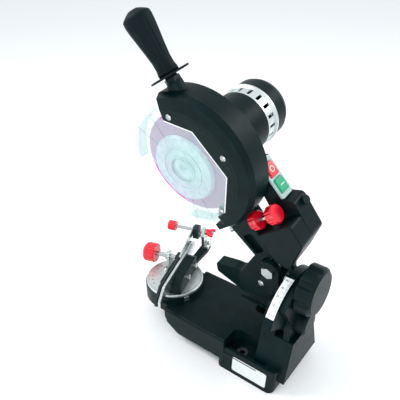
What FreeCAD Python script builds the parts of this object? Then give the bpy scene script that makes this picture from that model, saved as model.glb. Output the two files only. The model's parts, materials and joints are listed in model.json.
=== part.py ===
"""Bench-top electric grinder for saw chains, as an assembly of separate solids.

Millimetres, +Z up. The origin is the centre of the foot's underside.
+X is the open side of the grinding wheel, -X the motor, -Y the operator and the chain vise, and +Y
the tilt column. The grinding head is drawn lowered, with its wheel over the vise, and is then swung
up by HEAD_RAISE about the arm pin and leaned by HEAD_TILT about the tilt axis.
"""
import FreeCAD
import Part
import math
import os

os.makedirs("parts", exist_ok=True)
V = FreeCAD.Vector

# Clearances
RUN = 0.05                 # radial running fit of pins and shafts
GAP = 0.3                  # between parts that move past each other
SEAT = 0.0                 # faces that are bolted together

# Grinding wheel and spindle
WHEEL_R = 72.5
WHEEL_T = 3.2
WHEEL_BORE_R = 11.1
SPINDLE_R = 7.0
FLANGE_R = 24.0
FLANGE_T = 5.0
CLAMP_FLANGE_R = 27.0
NUT_R = 12.0
NUT_T = 8.0

# Foot, tray and column
FOOT_W = 124.0
FOOT_L = 98.0
FOOT_H = 41.0
FOOT_DRAFT = 5.0
TRAY_W = 118.0
TRAY_TOP = 54.0
TRAY_FRONT = -156.0
TRAY_LIFT = 14.0
TRAY_NOSE_LIFT = 30.0
CAST_WALL = 5.0
BENCH_HOLE_R = 4.25
BENCH_HOLE_SPAN = 84.0
BENCH_HOLE_Y = -14.0
PAD_TOP = 31.0
PAD_R = 12.0
COLUMN_Y0 = 10.0
COLUMN_Y1 = 31.5
COLUMN_W = 58.0
TILT_Z = 106.0
CHEEK_R = 25.0
REAR_PLATE_T = 9.0
REAR_PLATE_R = 72.0
LEDGE_Z = 86.0
LEDGE_Y = 62.0

# Tilt sector
SECTOR_T = 13.0
SECTOR_R = 75.0
SECTOR_HALF = 52.0
HUB_R = 26.0
TILT_PIN_R = 8.0
SLOT_R = 62.0
SLOT_W = 10.6
TILT_MAX = 35.0
HEAD_TILT = 8.0
SCALE_T = 0.8
LOCK_BOLT_R = 5.0
LOCK_KNOB_R = 36.0
LOCK_KNOB_T = 24.0
AXIS_CAP_R = 19.0
AXIS_CAP_L = 16.0

# Arm
ARM_LENGTH = 184.5
PIN_Y = 5.0
PIN_UP = 72.5
PIN_R = 6.0
ARM_X0 = -42.0
ARM_X1 = -8.3
EAR_T = 9.0
EAR_R = 15.0
ARM_TOP = 16.0
SPRING_X = -21.0
SPRING_WIRE = 1.1
SPRING_COIL = 9.5
SPRING_TURNS = 3.5
SPRING_ARM_LEG = 4.0
SPRING_NECK_LEG = 11.2
SPRING_PITCH = 2.7
SPRING_LEG = 200.0
BUSH_R = 8.5
HEAD_RAISE = 51.0

# Depth stop
STOP_X = -17.0
STOP_OUT = 11.5
STOP_ROD_R = 4.0
STOP_TIP = -36.0
STOP_TOP = 62.0
KNOB_R = 13.5
KNOB_T = 12.0
LUG_R = 11.0

# Wheel guard
DRUM_R = 103.0
DRUM_X0 = -32.0
DRUM_X1 = 12.0
DRUM_WALL = 4.0
LIP_R = 79.0
LIP_X = 15.0
DRUM_END = 161.0
DRUM_START = -2.0

# Clear cover
COVER_R = 86.0
COVER_T = 2.6
COVER_DEPTH = 19.0
BOSS_R = 49.0
BOSS_RISE = 4.0
HUB_HOLE_R = 18.4
LOBE_FRONT = 240.0
LOBE_REAR = -45.0
WINDOW_FRONT = (-32.0, -49.0)
WINDOW_REAR = (45.0, -39.0)
COVER_RIBS = (200.0, 176.0, -32.0, -10.0)
COVER_SCREWS = (8.0, 80.0, 152.0)
COVER_SCREW_R = 2.0
SCREW_RING_R = 74.0

# Motor
MOTOR_R = 46.5
BELL_END = -122.0
RING_END = -146.0
CAP_END = -180.0
MOTOR_WALL = 3.5
STATOR_R = 39.0
ROTOR_R = 22.0
ROTOR_L = 46.0
BEARING_R = 13.0
BEARING_W = 10.0
FAN_R = 28.0
VENT_COUNT = 18
VENT_W = 5.0
CAP_SLOTS = 12
CAP_SCREW_L = 42.0
CAP_SCREW_R = 2.0
CAP_SCREW_RING = 33.5
GLAND_X = -60.0
GLAND_R = 5.0
LEAD_R = 3.2

# Handle
HANDLE_X = -9.0
HANDLE_INSET = 8.69592
HANDLE_AT = 146.89966
HANDLE_ANGLE = 7.5
BOSS_TOP = 16.5
HANDLE_R = 15.5
HANDLE_L = 84.0
HANDLE_FLANGE_R = 27.0
HANDLE_FLANGE_T = 2.5
STUD_R = 5.0
NECK_L = 26.0
STUD_INSERT = 30.0
GRIP_SHOULDER = 6.0
GRIP_WAIST = 20.0
GRIP_SWELL = 58.0
GRIP_FLUTES = 10

# Electrics
CASE_X0 = -58.0
CASE_X1 = -4.0
CASE_FRONT = 47.0
CASE_STEP = 106.0
KNOB_ROOM = 3.0
CASE_WALL = 2.5
PANEL_Z = 66.0
LID_T = 2.5
SWITCH_X = -45.0
PLATE_L = 58.0
PLATE_W = 24.0
PLATE_T = 3.0
BUTTON_L = 20.0
BUTTON_W = 16.0
INLET_X = -45.0
INLET_Z = 57.0
CAPACITOR_L = 44.0
RIB_T = 8.0
BUTTON_PITCH = 24.0
BUTTON_TRAVEL = 2.5

# Chain vise
VISE_SWIVEL = 17.0
DISC_R = 48.0
DISC_T = 4.0
DISC_TOP = 68.0
BOSS_H = 10.0
SWIVEL_BOLT_R = 5.0
RAIL_FRONT = -72.0
RAIL_BACK = 82.0
RAIL_TOP = 31.0
RAIL_BOTTOM = 9.0
RAIL_T = 4.0
CHAIN_SLOT = 2.4
RAIL_OFFSET = 5.0
JAW_OPEN = 2.0
GUIDE_R = 3.0
SCREW_R = 4.0
SCREW_ALONG = -30.0
SCREW_HEIGHT = 17.0
CLAMP_Y = -24.0
CLAMP_KNOB_Y = -68.0
CLAMP_KNOB_R = 17.0
CLAMP_KNOB_T = 22.0
BODY_BACK = 27.0
BODY_BOLTS = (-24.0, 8.0)
GUIDE_PLACES = (-8.0, 24.0)
RAIL_MID = 17.0
FINGER_Z = 4.0
STOP_ALONG = -79.0
BARREL_UP = 47.0
SHAFT_R = 3.0
GUIDE_PIN_R = 2.0
CARRIER_L = 10.0
PAWL_T = 2.0
STOP_KNOB_Y = -31.0

# Derived places
WHEEL_Y = PIN_Y - ARM_LENGTH
PIN_Z = TILT_Z + PIN_UP
STOP_Y = DRUM_R + STOP_OUT
CASE_REST = STOP_Y + KNOB_R + KNOB_ROOM
CASE_BACK = ARM_LENGTH + 9.5
SECTOR_Y0 = COLUMN_Y1 + GAP
SECTOR_Y1 = SECTOR_Y0 + SECTOR_T
REAR_Y0 = SECTOR_Y1 + GAP
REAR_Y1 = REAR_Y0 + REAR_PLATE_T
JAW_FACE = RAIL_OFFSET - CHAIN_SLOT / 2
CARRIER_Y = RAIL_OFFSET + PAWL_T / 2 + GAP
COVER_X = DRUM_X1
GLAND_DIR = V(0, 0.59, 0.81).normalize()
GLAND_OUT = MOTOR_R + 3


def rod(radius, start, end):
    """Cylinder between two points."""
    start = V(*start)
    axis = V(*end) - start
    return Part.makeCylinder(radius, axis.Length, start, axis)


def tube(outer, inner, start, end):
    """Hollow cylinder between two points."""
    return rod(outer, start, end).cut(rod(inner, start, end))


def block(x0, x1, y0, y1, z0, z1):
    """Box between two corners."""
    return Part.makeBox(x1 - x0, y1 - y0, z1 - z0, V(x0, y0, z0))


def rounded_wire(points, radius):
    """Closed wire through points, each corner rounded by radius or by its own third entry."""
    corners = [V(p[0], p[1], 0) for p in points]
    radii = [p[2] if len(p) > 2 else radius for p in points]
    count = len(corners)
    trims = []
    for i in range(count):
        before = (corners[i - 1] - corners[i]).normalize()
        after = (corners[(i + 1) % count] - corners[i]).normalize()
        half = before.getAngle(after) / 2
        if radii[i] <= 0 or half > math.radians(89.5):
            trims.append(None)
            continue
        run = radii[i] / math.tan(half)
        start = corners[i] + before * run
        end = corners[i] + after * run
        middle = corners[i] + (before + after).normalize() * (radii[i] / math.sin(half) - radii[i])
        trims.append((start, middle, end))
    edges = []
    for i in range(count):
        here = trims[i]
        following = trims[(i + 1) % count]
        if here:
            edges.append(Part.Arc(*here).toShape())
        line_start = here[2] if here else corners[i]
        line_end = following[0] if following else corners[(i + 1) % count]
        if (line_end - line_start).Length > 1e-6:
            edges.append(Part.LineSegment(line_start, line_end).toShape())
    return Part.Wire(edges)


def plate_z(points, z0, z1, radius=0.0):
    """Plate with an outline in X and Y."""
    face = Part.Face(rounded_wire(points, radius))
    face.translate(V(0, 0, z0))
    return face.extrude(V(0, 0, z1 - z0))


def plate_x(points, x0, x1, radius=0.0):
    """Plate with an outline in Y and Z, from x0 to x1."""
    face = Part.Face(rounded_wire(points, radius))
    matrix = FreeCAD.Matrix(0, 0, 1, x0, 1, 0, 0, 0, 0, 1, 0, 0, 0, 0, 0, 1)
    return face.transformGeometry(matrix).extrude(V(x1 - x0, 0, 0))


def plate_y(points, y0, y1, radius=0.0):
    """Plate with an outline in X and Z, from y0 to y1."""
    face = Part.Face(rounded_wire(points, radius))
    matrix = FreeCAD.Matrix(1, 0, 0, 0, 0, 0, -1, y0, 0, 1, 0, 0, 0, 0, 0, 1)
    return face.transformGeometry(matrix).extrude(V(0, y1 - y0, 0))


def turned(profile, origin=(0, 0, 0), axis=(0, 0, 1)):
    """Solid of revolution: profile holds (radius, height) pairs along the axis."""
    points = [V(r, 0, h) for r, h in profile]
    face = Part.Face(Part.makePolygon(points + [points[0]]))
    solid = face.revolve(V(0, 0, 0), V(0, 0, 1), 360)
    solid.Placement = FreeCAD.Placement(V(*origin), FreeCAD.Rotation(V(0, 0, 1), V(*axis)))
    return solid


def fillet_where(shape, radius, test):
    """Fillet the edges whose middle point passes the test."""
    edges = []
    for edge in shape.Edges:
        first, last = edge.ParameterRange
        if test(edge.valueAt((first + last) / 2)):
            edges.append(edge)
    return shape.makeFillet(radius, edges)


def hexagon(across, origin, axis, height):
    """Hexagonal prism on an axis."""
    corner = across / 2 / math.cos(math.radians(30))
    points = [(corner * math.cos(math.radians(60 * i)), corner * math.sin(math.radians(60 * i)))
              for i in range(6)]
    solid = plate_z(points, 0, height)
    solid.Placement = FreeCAD.Placement(V(*origin), FreeCAD.Rotation(V(0, 0, 1), V(*axis)))
    return solid


def lobed_knob(radius, height, lobes, bore, dome=2.0):
    """Grip knob on +Z: a fluted body with a soft upper edge and a plain bore."""
    body = turned([(0, 0), (radius - 1.0, 0), (radius, 1.0), (radius, height - dome),
                   (radius - dome, height), (0, height)])
    flute_r = radius * math.pi / lobes * 0.45
    for i in range(lobes):
        turn = 2 * math.pi * i / lobes
        reach = radius + flute_r * 0.45
        centre = (reach * math.cos(turn), reach * math.sin(turn))
        body = body.cut(rod(flute_r, (*centre, -1), (*centre, height + 1)))
    if bore > 0:
        body = body.cut(rod(bore, (0, 0, -1), (0, 0, height + 1)))
    return body


def pan_screw(head_r, head_h, shank_r, shank_l, origin, axis):
    """Cross-head screw: the origin is under the head and the axis points out of the head."""
    head = turned([(0, 0), (head_r, 0), (head_r, head_h * 0.5), (head_r * 0.6, head_h), (0, head_h)])
    slot = head_r * 0.22
    for across in ((head_r * 0.6, slot), (slot, head_r * 0.6)):
        head = head.cut(block(-across[0], across[0], -across[1], across[1], head_h * 0.55, head_h + 1))
    screw = head.fuse(rod(shank_r, (0, 0, 0), (0, 0, -shank_l)))
    screw.Placement = FreeCAD.Placement(V(*origin), FreeCAD.Rotation(V(0, 0, 1), V(*axis)))
    return screw


def placed(shape, origin, axis):
    """Copy of a shape drawn on +Z, moved to an origin with its +Z along an axis."""
    copy = shape.copy()
    copy.Placement = FreeCAD.Placement(V(*origin), FreeCAD.Rotation(V(0, 0, 1), V(*axis)))
    return copy


def on_base(shape):
    """The base is drawn in its final place."""
    return shape


def on_bracket(shape):
    """Bracket frame: origin on the tilt axis, leaned with the head."""
    moved = shape.copy()
    moved.translate(V(0, 0, TILT_Z))
    moved.rotate(V(0, 0, TILT_Z), V(0, 1, 0), HEAD_TILT)
    return moved


def on_head(shape):
    """Head frame: origin at the wheel's centre with the head lowered."""
    moved = shape.copy()
    moved.translate(V(0, WHEEL_Y, PIN_Z))
    moved.rotate(V(0, PIN_Y, PIN_Z), V(1, 0, 0), -HEAD_RAISE)
    moved.rotate(V(0, 0, TILT_Z), V(0, 1, 0), HEAD_TILT)
    return moved


def on_vise(shape):
    """Vise frame: X along the rails, origin on the swivel axis at the disc's top."""
    moved = shape.copy()
    moved.rotate(V(0, 0, 0), V(0, 0, 1), VISE_SWIVEL)
    moved.translate(V(0, WHEEL_Y, DISC_TOP))
    return moved


NODES = {}


def keep(name, shape, place=on_base):
    """Put a finished piece in its final place and store it."""
    moved = place(shape)
    if moved.ShapeType != "Solid" and len(moved.Solids) == 1:
        moved = moved.Solids[0]
    NODES[name] = moved


# Base casting: hollow foot, tray with its raised nose, column with two cheeks

def base_casting():
    """Foot, tray and column in one casting."""
    half = FOOT_W / 2
    y0 = -FOOT_L / 2
    y1 = FOOT_L / 2
    top = half - FOOT_DRAFT
    lower = Part.Face(rounded_wire([(-half, y0), (half, y0), (half, y1), (-half, y1)], 10)).OuterWire
    upper = Part.Face(rounded_wire([(-top, y0 + 2), (top, y0 + 2), (top, y1 + 4), (-top, y1 + 4)], 10))
    upper = upper.OuterWire
    upper.translate(V(0, 0, FOOT_H))
    foot = Part.makeLoft([lower, upper], True)

    side = [(y0 + 20, TRAY_LIFT), (TRAY_FRONT + 28, TRAY_LIFT, 14), (TRAY_FRONT + 4, TRAY_NOSE_LIFT),
            (TRAY_FRONT, TRAY_NOSE_LIFT + 6, 3), (TRAY_FRONT, TRAY_TOP, 3), (y0 + 20, TRAY_TOP)]
    tray = plate_x(side, -TRAY_W / 2, TRAY_W / 2)
    tray = fillet_where(tray, 4.0, lambda p: abs(abs(p.x) - TRAY_W / 2) < 0.1 and p.z > TRAY_TOP - 1)
    bed = block(-TRAY_W / 2, TRAY_W / 2, y0 + 19, COLUMN_Y0 + 10, TRAY_LIFT, TRAY_TOP)
    side_cut = plate_z([(half + 5, y0 + 12), (half + 5, 30), (24, 30), (24, y0 + 12)], PAD_TOP,
                       TRAY_TOP + 5, 10)
    body = foot.fuse([tray, bed])
    body = body.cut([side_cut, side_cut.mirror(V(0, 0, 0), V(1, 0, 0))])
    wall = plate_z([(half + 5, y0), (half + 5, y1), (top - CAST_WALL, y1), (top - CAST_WALL, y0)],
                   0, FOOT_H)
    wall = wall.common(foot)
    body = body.fuse([wall, wall.mirror(V(0, 0, 0), V(1, 0, 0))])

    nose = rod(DISC_R + 1.5, (0, WHEEL_Y, TRAY_TOP - 16), (0, WHEEL_Y, DISC_TOP - DISC_T))
    apron = block(-DISC_R - 1.5, DISC_R + 1.5, WHEEL_Y, TRAY_FRONT + 20, TRAY_TOP - 16, TRAY_TOP)
    body = body.fuse([nose, apron])

    column_side = [(COLUMN_Y0, PAD_TOP), (COLUMN_Y0, TILT_Z), (COLUMN_Y1, TILT_Z), (COLUMN_Y1, PAD_TOP)]
    half_c = COLUMN_W / 2
    flare = half - 12
    front = [(-flare, PAD_TOP - 10), (-half_c, TILT_Z - 12, 30), (-CHEEK_R, TILT_Z),
             (CHEEK_R, TILT_Z), (half_c, TILT_Z - 12, 30), (flare, PAD_TOP - 10)]
    column = plate_y(front, COLUMN_Y0, LEDGE_Y)
    cheek = rod(CHEEK_R, (0, COLUMN_Y0, TILT_Z), (0, COLUMN_Y1, TILT_Z))
    plate = rod(REAR_PLATE_R, (0, REAR_Y0, TILT_Z), (0, REAR_Y1, TILT_Z))
    wedge = plate_y([(0, TILT_Z - 30), (-60, TILT_Z + 66), (-60, TILT_Z + 120), (60, TILT_Z + 120),
                     (60, TILT_Z + 66)], REAR_Y0, REAR_Y1)
    plate = plate.common(wedge).fuse(rod(HUB_R + 4, (0, REAR_Y0, TILT_Z), (0, REAR_Y1, TILT_Z)))
    column = column.cut(block(-80, 80, COLUMN_Y1, LEDGE_Y + 1, LEDGE_Z, TILT_Z + 20))
    well = rod(HUB_R + 2, (0, COLUMN_Y1, TILT_Z), (0, REAR_Y0, TILT_Z))
    body = body.fuse([column, cheek, plate]).cut(well)
    neck = block(-HUB_R - 4, HUB_R + 4, REAR_Y0, REAR_Y1, LEDGE_Z - 5, TILT_Z)
    body = body.fuse(neck)

    hollow_top = FOOT_H - CAST_WALL
    inner = half - CAST_WALL - 3
    hollow = block(-inner, inner, y0 + CAST_WALL, y1 - CAST_WALL, -1, PAD_TOP - CAST_WALL)
    hollow = hollow.cut(block(-RIB_T / 2, RIB_T / 2, y0, y1, -2, PAD_TOP))
    for sign in (-1, 1):
        x = sign * BENCH_HOLE_SPAN / 2
        post = rod(PAD_R, (x, BENCH_HOLE_Y, -2), (x, BENCH_HOLE_Y, hollow_top))
        edge = x + sign * (PAD_R + CAST_WALL)
        web = block(min(x, edge), max(x, edge), BENCH_HOLE_Y - RIB_T / 2, BENCH_HOLE_Y + RIB_T / 2, -2, hollow_top)
        hollow = hollow.cut([post, web])
    tray_hollow = block(-TRAY_W / 2 + CAST_WALL, TRAY_W / 2 - CAST_WALL, TRAY_FRONT + 40, y0 - 4,
                        TRAY_LIFT - 1, TRAY_TOP - CAST_WALL)
    column_hollow = block(-half_c + CAST_WALL, half_c - CAST_WALL, COLUMN_Y0 + CAST_WALL,
                          LEDGE_Y - CAST_WALL, -1, LEDGE_Z - 14)
    column_hollow = column_hollow.common(block(-100, 100, -100, y1 - CAST_WALL, -2, LEDGE_Z))
    column_hollow = column_hollow.cut(block(-RIB_T / 2, RIB_T / 2, y0, y1, -2, PAD_TOP))
    body = body.cut([hollow, tray_hollow, column_hollow])
    for sign in (-1, 1):
        x = sign * BENCH_HOLE_SPAN / 2
        body = body.cut(rod(BENCH_HOLE_R, (x, BENCH_HOLE_Y, -1), (x, BENCH_HOLE_Y, PAD_TOP + 1)))
        body = body.cut(rod(PAD_R - 3, (x, BENCH_HOLE_Y, PAD_TOP - 1.6), (x, BENCH_HOLE_Y, PAD_TOP + 1)))
    body = body.cut(rod(TILT_PIN_R, (0, -20, TILT_Z), (0, 90, TILT_Z)))
    body = body.cut(rod(LOCK_BOLT_R, (0, REAR_Y0 - 1, TILT_Z + SLOT_R), (0, REAR_Y1 + 1, TILT_Z + SLOT_R)))
    body = body.cut(rod(SWIVEL_BOLT_R + RUN, (0, WHEEL_Y, 0), (0, WHEEL_Y, DISC_TOP)))
    return body.removeSplitter()


keep("base_casting", base_casting())

rings = []
for sign in (-1, 1):
    ring_x = sign * BENCH_HOLE_SPAN / 2
    rings.append(tube(PAD_R - 3.2, BENCH_HOLE_R, (ring_x, BENCH_HOLE_Y, PAD_TOP - 1.6),
                      (ring_x, BENCH_HOLE_Y, PAD_TOP + 0.6)))

# Tilt axis: pin, lock bolt with its knob, cap
pin = rod(TILT_PIN_R, (0, COLUMN_Y0 + 1, TILT_Z), (0, REAR_Y1 + 6, TILT_Z))
keep("tilt_pin", pin)
cap = turned([(TILT_PIN_R, 0), (AXIS_CAP_R, 0), (AXIS_CAP_R, AXIS_CAP_L - 3), (AXIS_CAP_R - 3, AXIS_CAP_L),
              (0, AXIS_CAP_L), (0, 6.5), (TILT_PIN_R, 6.5)])
keep("tilt_axis_cap", placed(cap, (0, REAR_Y1, TILT_Z), (0, 1, 0)))
lock_z = TILT_Z + SLOT_R
lock_head_t = 4.5
lock_bolt = rod(LOCK_BOLT_R - RUN, (0, SECTOR_Y0, lock_z), (0, REAR_Y1 + 20, lock_z))
lock_head = rod(8.5, (0, SECTOR_Y0 - GAP - lock_head_t, lock_z), (0, SECTOR_Y0 - GAP, lock_z))
lock_neck = rod(LOCK_BOLT_R - RUN, (0, SECTOR_Y0 - GAP, lock_z), (0, SECTOR_Y0, lock_z))
keep("tilt_lock_bolt", lock_bolt.fuse([lock_head, lock_neck]))
rings.append(tube(14, LOCK_BOLT_R + RUN, (0, REAR_Y1, lock_z), (0, REAR_Y1 + 2, lock_z)))
keep("base_washers", Part.makeCompound(rings))
lock_knob = lobed_knob(LOCK_KNOB_R, LOCK_KNOB_T, 8, 0, 5)
lock_knob = lock_knob.cut(rod(LOCK_BOLT_R + RUN, (0, 0, -1), (0, 0, 18.5)))
keep("tilt_lock_knob", placed(lock_knob, (0, REAR_Y1 + 2, lock_z), (0, 1, 0)))


# Tilt bracket: sector with its arc slot, neck, clevis ears and the stop arm

def arc_slot(radius, width, start, end, y0, y1):
    """Curved slot about the tilt axis; angles are from +Z towards +X."""
    ring = tube(radius + width / 2, radius - width / 2, (0, y0, 0), (0, y1, 0))
    reach = radius * 3
    first = (reach * math.sin(math.radians(start)), reach * math.cos(math.radians(start)))
    last = (reach * math.sin(math.radians(end)), reach * math.cos(math.radians(end)))
    slot = ring.common(plate_y([(0, 0), first, last], y0, y1))
    for turn in (start, end):
        x = radius * math.sin(math.radians(turn))
        z = radius * math.cos(math.radians(turn))
        slot = slot.fuse(rod(width / 2, (x, y0, z), (x, y1, z)))
    return slot


def tilt_bracket():
    """Leaning bracket that carries the arm."""
    reach = SECTOR_R * 3
    half = math.radians(SECTOR_HALF)
    disc = rod(SECTOR_R, (0, SECTOR_Y0, 0), (0, SECTOR_Y1, 0))
    fan = plate_y([(0, -20), (-reach * math.sin(half), reach * math.cos(half)),
                   (reach * math.sin(half), reach * math.cos(half))], SECTOR_Y0, SECTOR_Y1)
    sector = disc.common(fan).fuse(rod(HUB_R, (0, SECTOR_Y0, 0), (0, SECTOR_Y1, 0)))
    slot = arc_slot(SLOT_R, SLOT_W, -TILT_MAX - 2, 2, SECTOR_Y0 - 1, SECTOR_Y1 + 1)

    far_ear = ARM_X0 - GAP - EAR_T
    near_ear = ARM_X1 + GAP + EAR_T
    neck = plate_x([(SECTOR_Y0 + 2, 28), (SECTOR_Y0 + 2, 40, 0), (24, 40, 0), (18, 50), (-12, 50),
                    (-46, 44), (-46, -10), (COLUMN_Y0 - 4, -14), (COLUMN_Y0 - 4, 28)],
                   far_ear, near_ear, 4)
    stop = plate_x([(-40, -10), (-94, 12, 5), (-95, 30, 4), (-62, PIN_UP + STOP_TIP - GAP, 8),
                    (-52, PIN_UP + STOP_TIP - GAP, 8), (-40, 43)], STOP_X - 9, STOP_X + 9)
    ears = []
    for x0 in (far_ear, ARM_X1 + GAP):
        ear = plate_x([(PIN_Y - EAR_R, 40), (PIN_Y - EAR_R, PIN_UP), (PIN_Y + EAR_R, PIN_UP),
                       (PIN_Y + EAR_R, 40)], x0, x0 + EAR_T)
        ears.append(ear.fuse(rod(EAR_R, (x0, PIN_Y, PIN_UP), (x0 + EAR_T, PIN_Y, PIN_UP))))
    bracket = sector.fuse([neck, stop] + ears)
    swing = rod(BUSH_R + 14, (ARM_X0 - GAP, PIN_Y, PIN_UP), (ARM_X1 + GAP, PIN_Y, PIN_UP))
    bracket = bracket.cut([slot, swing])
    bracket = bracket.cut(rod(PIN_R, (far_ear - 1, PIN_Y, PIN_UP), (near_ear + 1, PIN_Y, PIN_UP)))
    bracket = bracket.cut(rod(TILT_PIN_R + RUN, (0, -60, 0), (0, 60, 0)))
    bracket = bracket.cut(rod(2.5, (near_ear - 10, -8, 42), (near_ear + 1, -8, 42)))
    return bracket.removeSplitter()


keep("tilt_bracket", tilt_bracket(), on_bracket)


def tilt_scale():
    """Thin scale strip wrapped on the sector's rim."""
    strip = tube(SECTOR_R + SCALE_T, SECTOR_R, (0, SECTOR_Y0 + 0.5, 0), (0, SECTOR_Y1 - 0.5, 0))
    reach = SECTOR_R * 3
    low = math.radians(SECTOR_HALF - 4)
    fan = plate_y([(0, 0), (reach * math.sin(low), reach * math.cos(low)), (reach, reach * 1.3),
                   (0, reach)], SECTOR_Y0, SECTOR_Y1)
    return strip.common(fan)


keep("tilt_scale", tilt_scale(), on_bracket)
pin_x0 = ARM_X0 - GAP - EAR_T
pin_x1 = ARM_X1 + GAP + EAR_T
arm_pin = rod(PIN_R, (pin_x0 - 8, PIN_Y, PIN_UP), (pin_x1, PIN_Y, PIN_UP))
arm_pin = arm_pin.fuse(hexagon(17, (pin_x1, PIN_Y, PIN_UP), (1, 0, 0), 6))
keep("arm_pin", arm_pin, on_bracket)
pin_nut = hexagon(17, (pin_x0 - 7, PIN_Y, PIN_UP), (1, 0, 0), 7)
pin_nut = pin_nut.cut(rod(PIN_R, (pin_x0 - 9, PIN_Y, PIN_UP), (pin_x0 + 1, PIN_Y, PIN_UP)))
anchor_screw = pan_screw(5, 3.2, 2.5, 10, (pin_x1, -8, 42), (1, 0, 0))
keep("bracket_fasteners", Part.makeCompound([pin_nut, anchor_screw]), on_bracket)


# Return spring: coils round the arm pin beside the arm's boss

def tangent_arcs(p0, t0, p1, t1):
    """Two arcs that leave p0 along t0 and reach p1 along t1, meeting smoothly halfway."""
    span = p1 - p0
    both = t0 + t1
    spread = 2 * (1 - t0.dot(t1))
    reach = (math.sqrt(span.dot(both) ** 2 + spread * span.dot(span)) - span.dot(both)) / spread
    knee0 = p0 + t0 * reach
    knee1 = p1 - t1 * reach
    meet = (knee0 + knee1) * 0.5
    arcs = []
    for start, knee, end in ((p0, knee0, meet), (meet, knee1, p1)):
        chord = (start + end) * 0.5
        rise = knee - chord
        half = (end - start).Length / 2
        crown = half * math.tan(math.atan2(rise.Length, half) / 2)
        arcs.append(Part.Arc(start, chord + rise.normalize() * crown, end).toShape())
    return arcs


def return_spring():
    """Torsion spring with one leg under the arm and one on the bracket's neck."""
    x0 = SPRING_X + SPRING_WIRE + 0.5
    steps = 4
    total = round(SPRING_TURNS * steps)
    places = []
    tangents = []
    for i in range(total + 1):
        turn = math.radians(SPRING_LEG) + 2 * math.pi * i / steps
        places.append(V(x0 + SPRING_PITCH * i / steps, PIN_Y + SPRING_COIL * math.cos(turn),
                        PIN_UP + SPRING_COIL * math.sin(turn)))
        along = V(SPRING_PITCH / 2 / math.pi, -SPRING_COIL * math.sin(turn), SPRING_COIL * math.cos(turn))
        tangents.append(along.normalize())
    first = places[0] - tangents[0] * SPRING_ARM_LEG
    last = places[-1] + tangents[-1] * SPRING_NECK_LEG
    print("return_spring least gap %.2f mm" % (SPRING_PITCH - 2 * SPRING_WIRE))
    edges = [Part.LineSegment(first, places[0]).toShape()]
    for i in range(total):
        edges.extend(tangent_arcs(places[i], tangents[i], places[i + 1], tangents[i + 1]))
    edges.append(Part.LineSegment(places[-1], last).toShape())
    ring = Part.Wire(Part.makeCircle(SPRING_WIRE, first, tangents[0]))
    return Part.Wire(edges).makePipeShell([ring], True, False)


keep("return_spring", return_spring(), on_bracket)


# Arm: lug, bushes and depth stop

def arm_casting():
    """Cast arm from the guard to the pin, with the depth-stop lug."""
    back = ARM_LENGTH
    lug_y = STOP_Y
    side = [(back + 12, -6, 10), (back + 12, 8, 8), (back - 6, ARM_TOP, 8), (lug_y - 14, ARM_TOP, 6),
            (DRUM_R - 15, 34, 12), (DRUM_R - 37, 40), (DRUM_R - 43, -10), (DRUM_R - 19, -24, 8),
            (lug_y, -24, 20), (back - 16, -17, 20)]
    arm = plate_x(side, ARM_X0, ARM_X1)
    arm = fillet_where(arm, 3.0, lambda p: (abs(p.x - ARM_X0) < 0.1 or abs(p.x - ARM_X1) < 0.1)
                       and p.y > DRUM_R - 11)
    boss = rod(BUSH_R + 6, (ARM_X0, back, 0), (ARM_X1, back, 0))
    arm = arm.fuse(boss)
    window = plate_x([(back - 58, -14), (back - 58, 6), (back - 26, 6), (back - 26, -12)],
                     ARM_X1 - 8, ARM_X1 + 1, 5)
    arm = arm.cut(window)
    keepout = rod(DRUM_R, (ARM_X0 - 1, 0, 0), (ARM_X1 + 1, 0, 0))
    arm = arm.cut(keepout)
    arm = arm.cut(rod(BUSH_R, (ARM_X0 - 1, back, 0), (ARM_X1 + 1, back, 0)))
    arm = arm.cut(rod(EAR_R + 1.5, (SPRING_X, back, 0), (ARM_X1 + 1, back, 0)))
    arm = arm.cut(rod(STOP_ROD_R + RUN, (STOP_X, lug_y, -40), (STOP_X, lug_y, 60)))
    return arm


keep("arm", arm_casting(), on_head)
bush_gap = 8.0
bushes = []
for x0, x1 in ((ARM_X0, ARM_X0 + bush_gap), (SPRING_X - bush_gap, SPRING_X)):
    bushes.append(tube(BUSH_R, PIN_R + RUN, (x0, ARM_LENGTH, 0), (x1, ARM_LENGTH, 0)))
keep("arm_bushes", Part.makeCompound(bushes), on_head)

stop_rod = rod(STOP_ROD_R, (STOP_X, STOP_Y, STOP_TIP), (STOP_X, STOP_Y, STOP_TOP - 2))
keep("depth_stop_rod", stop_rod, on_head)
stop_knob = lobed_knob(KNOB_R, KNOB_T, 10, 0, 2)
stop_knob = stop_knob.cut(rod(STOP_ROD_R + RUN, (0, 0, -1), (0, 0, KNOB_T - 2)))
keep("depth_stop_knob", placed(stop_knob, (STOP_X, STOP_Y, STOP_TOP - KNOB_T), (0, 0, 1)), on_head)
lock_knob_small = lobed_knob(KNOB_R, KNOB_T, 10, STOP_ROD_R + RUN, 2)
keep("depth_lock_knob", placed(lock_knob_small, (STOP_X, STOP_Y, ARM_TOP + GAP), (0, 0, 1)), on_head)


# Wheel guard: open drum over the upper half of the wheel

def sector_plate(radius, start, end, x0, x1):
    """Pie slice of a disc on the wheel's axis; angles from +Y towards +Z."""
    reach = radius * 4
    steps = 4
    points = [(0, 0)]
    for i in range(steps + 1):
        turn = math.radians(start + (end - start) * i / steps)
        points.append((reach * math.cos(turn), reach * math.sin(turn)))
    return rod(radius, (x0, 0, 0), (x1, 0, 0)).common(plate_x(points, x0, x1))


def cover_screw_places():
    """Places of the cover's screws round the guard's opening."""
    places = []
    for turn in COVER_SCREWS:
        places.append((SCREW_RING_R * math.cos(math.radians(turn)), SCREW_RING_R * math.sin(math.radians(turn))))
    return places


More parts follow.
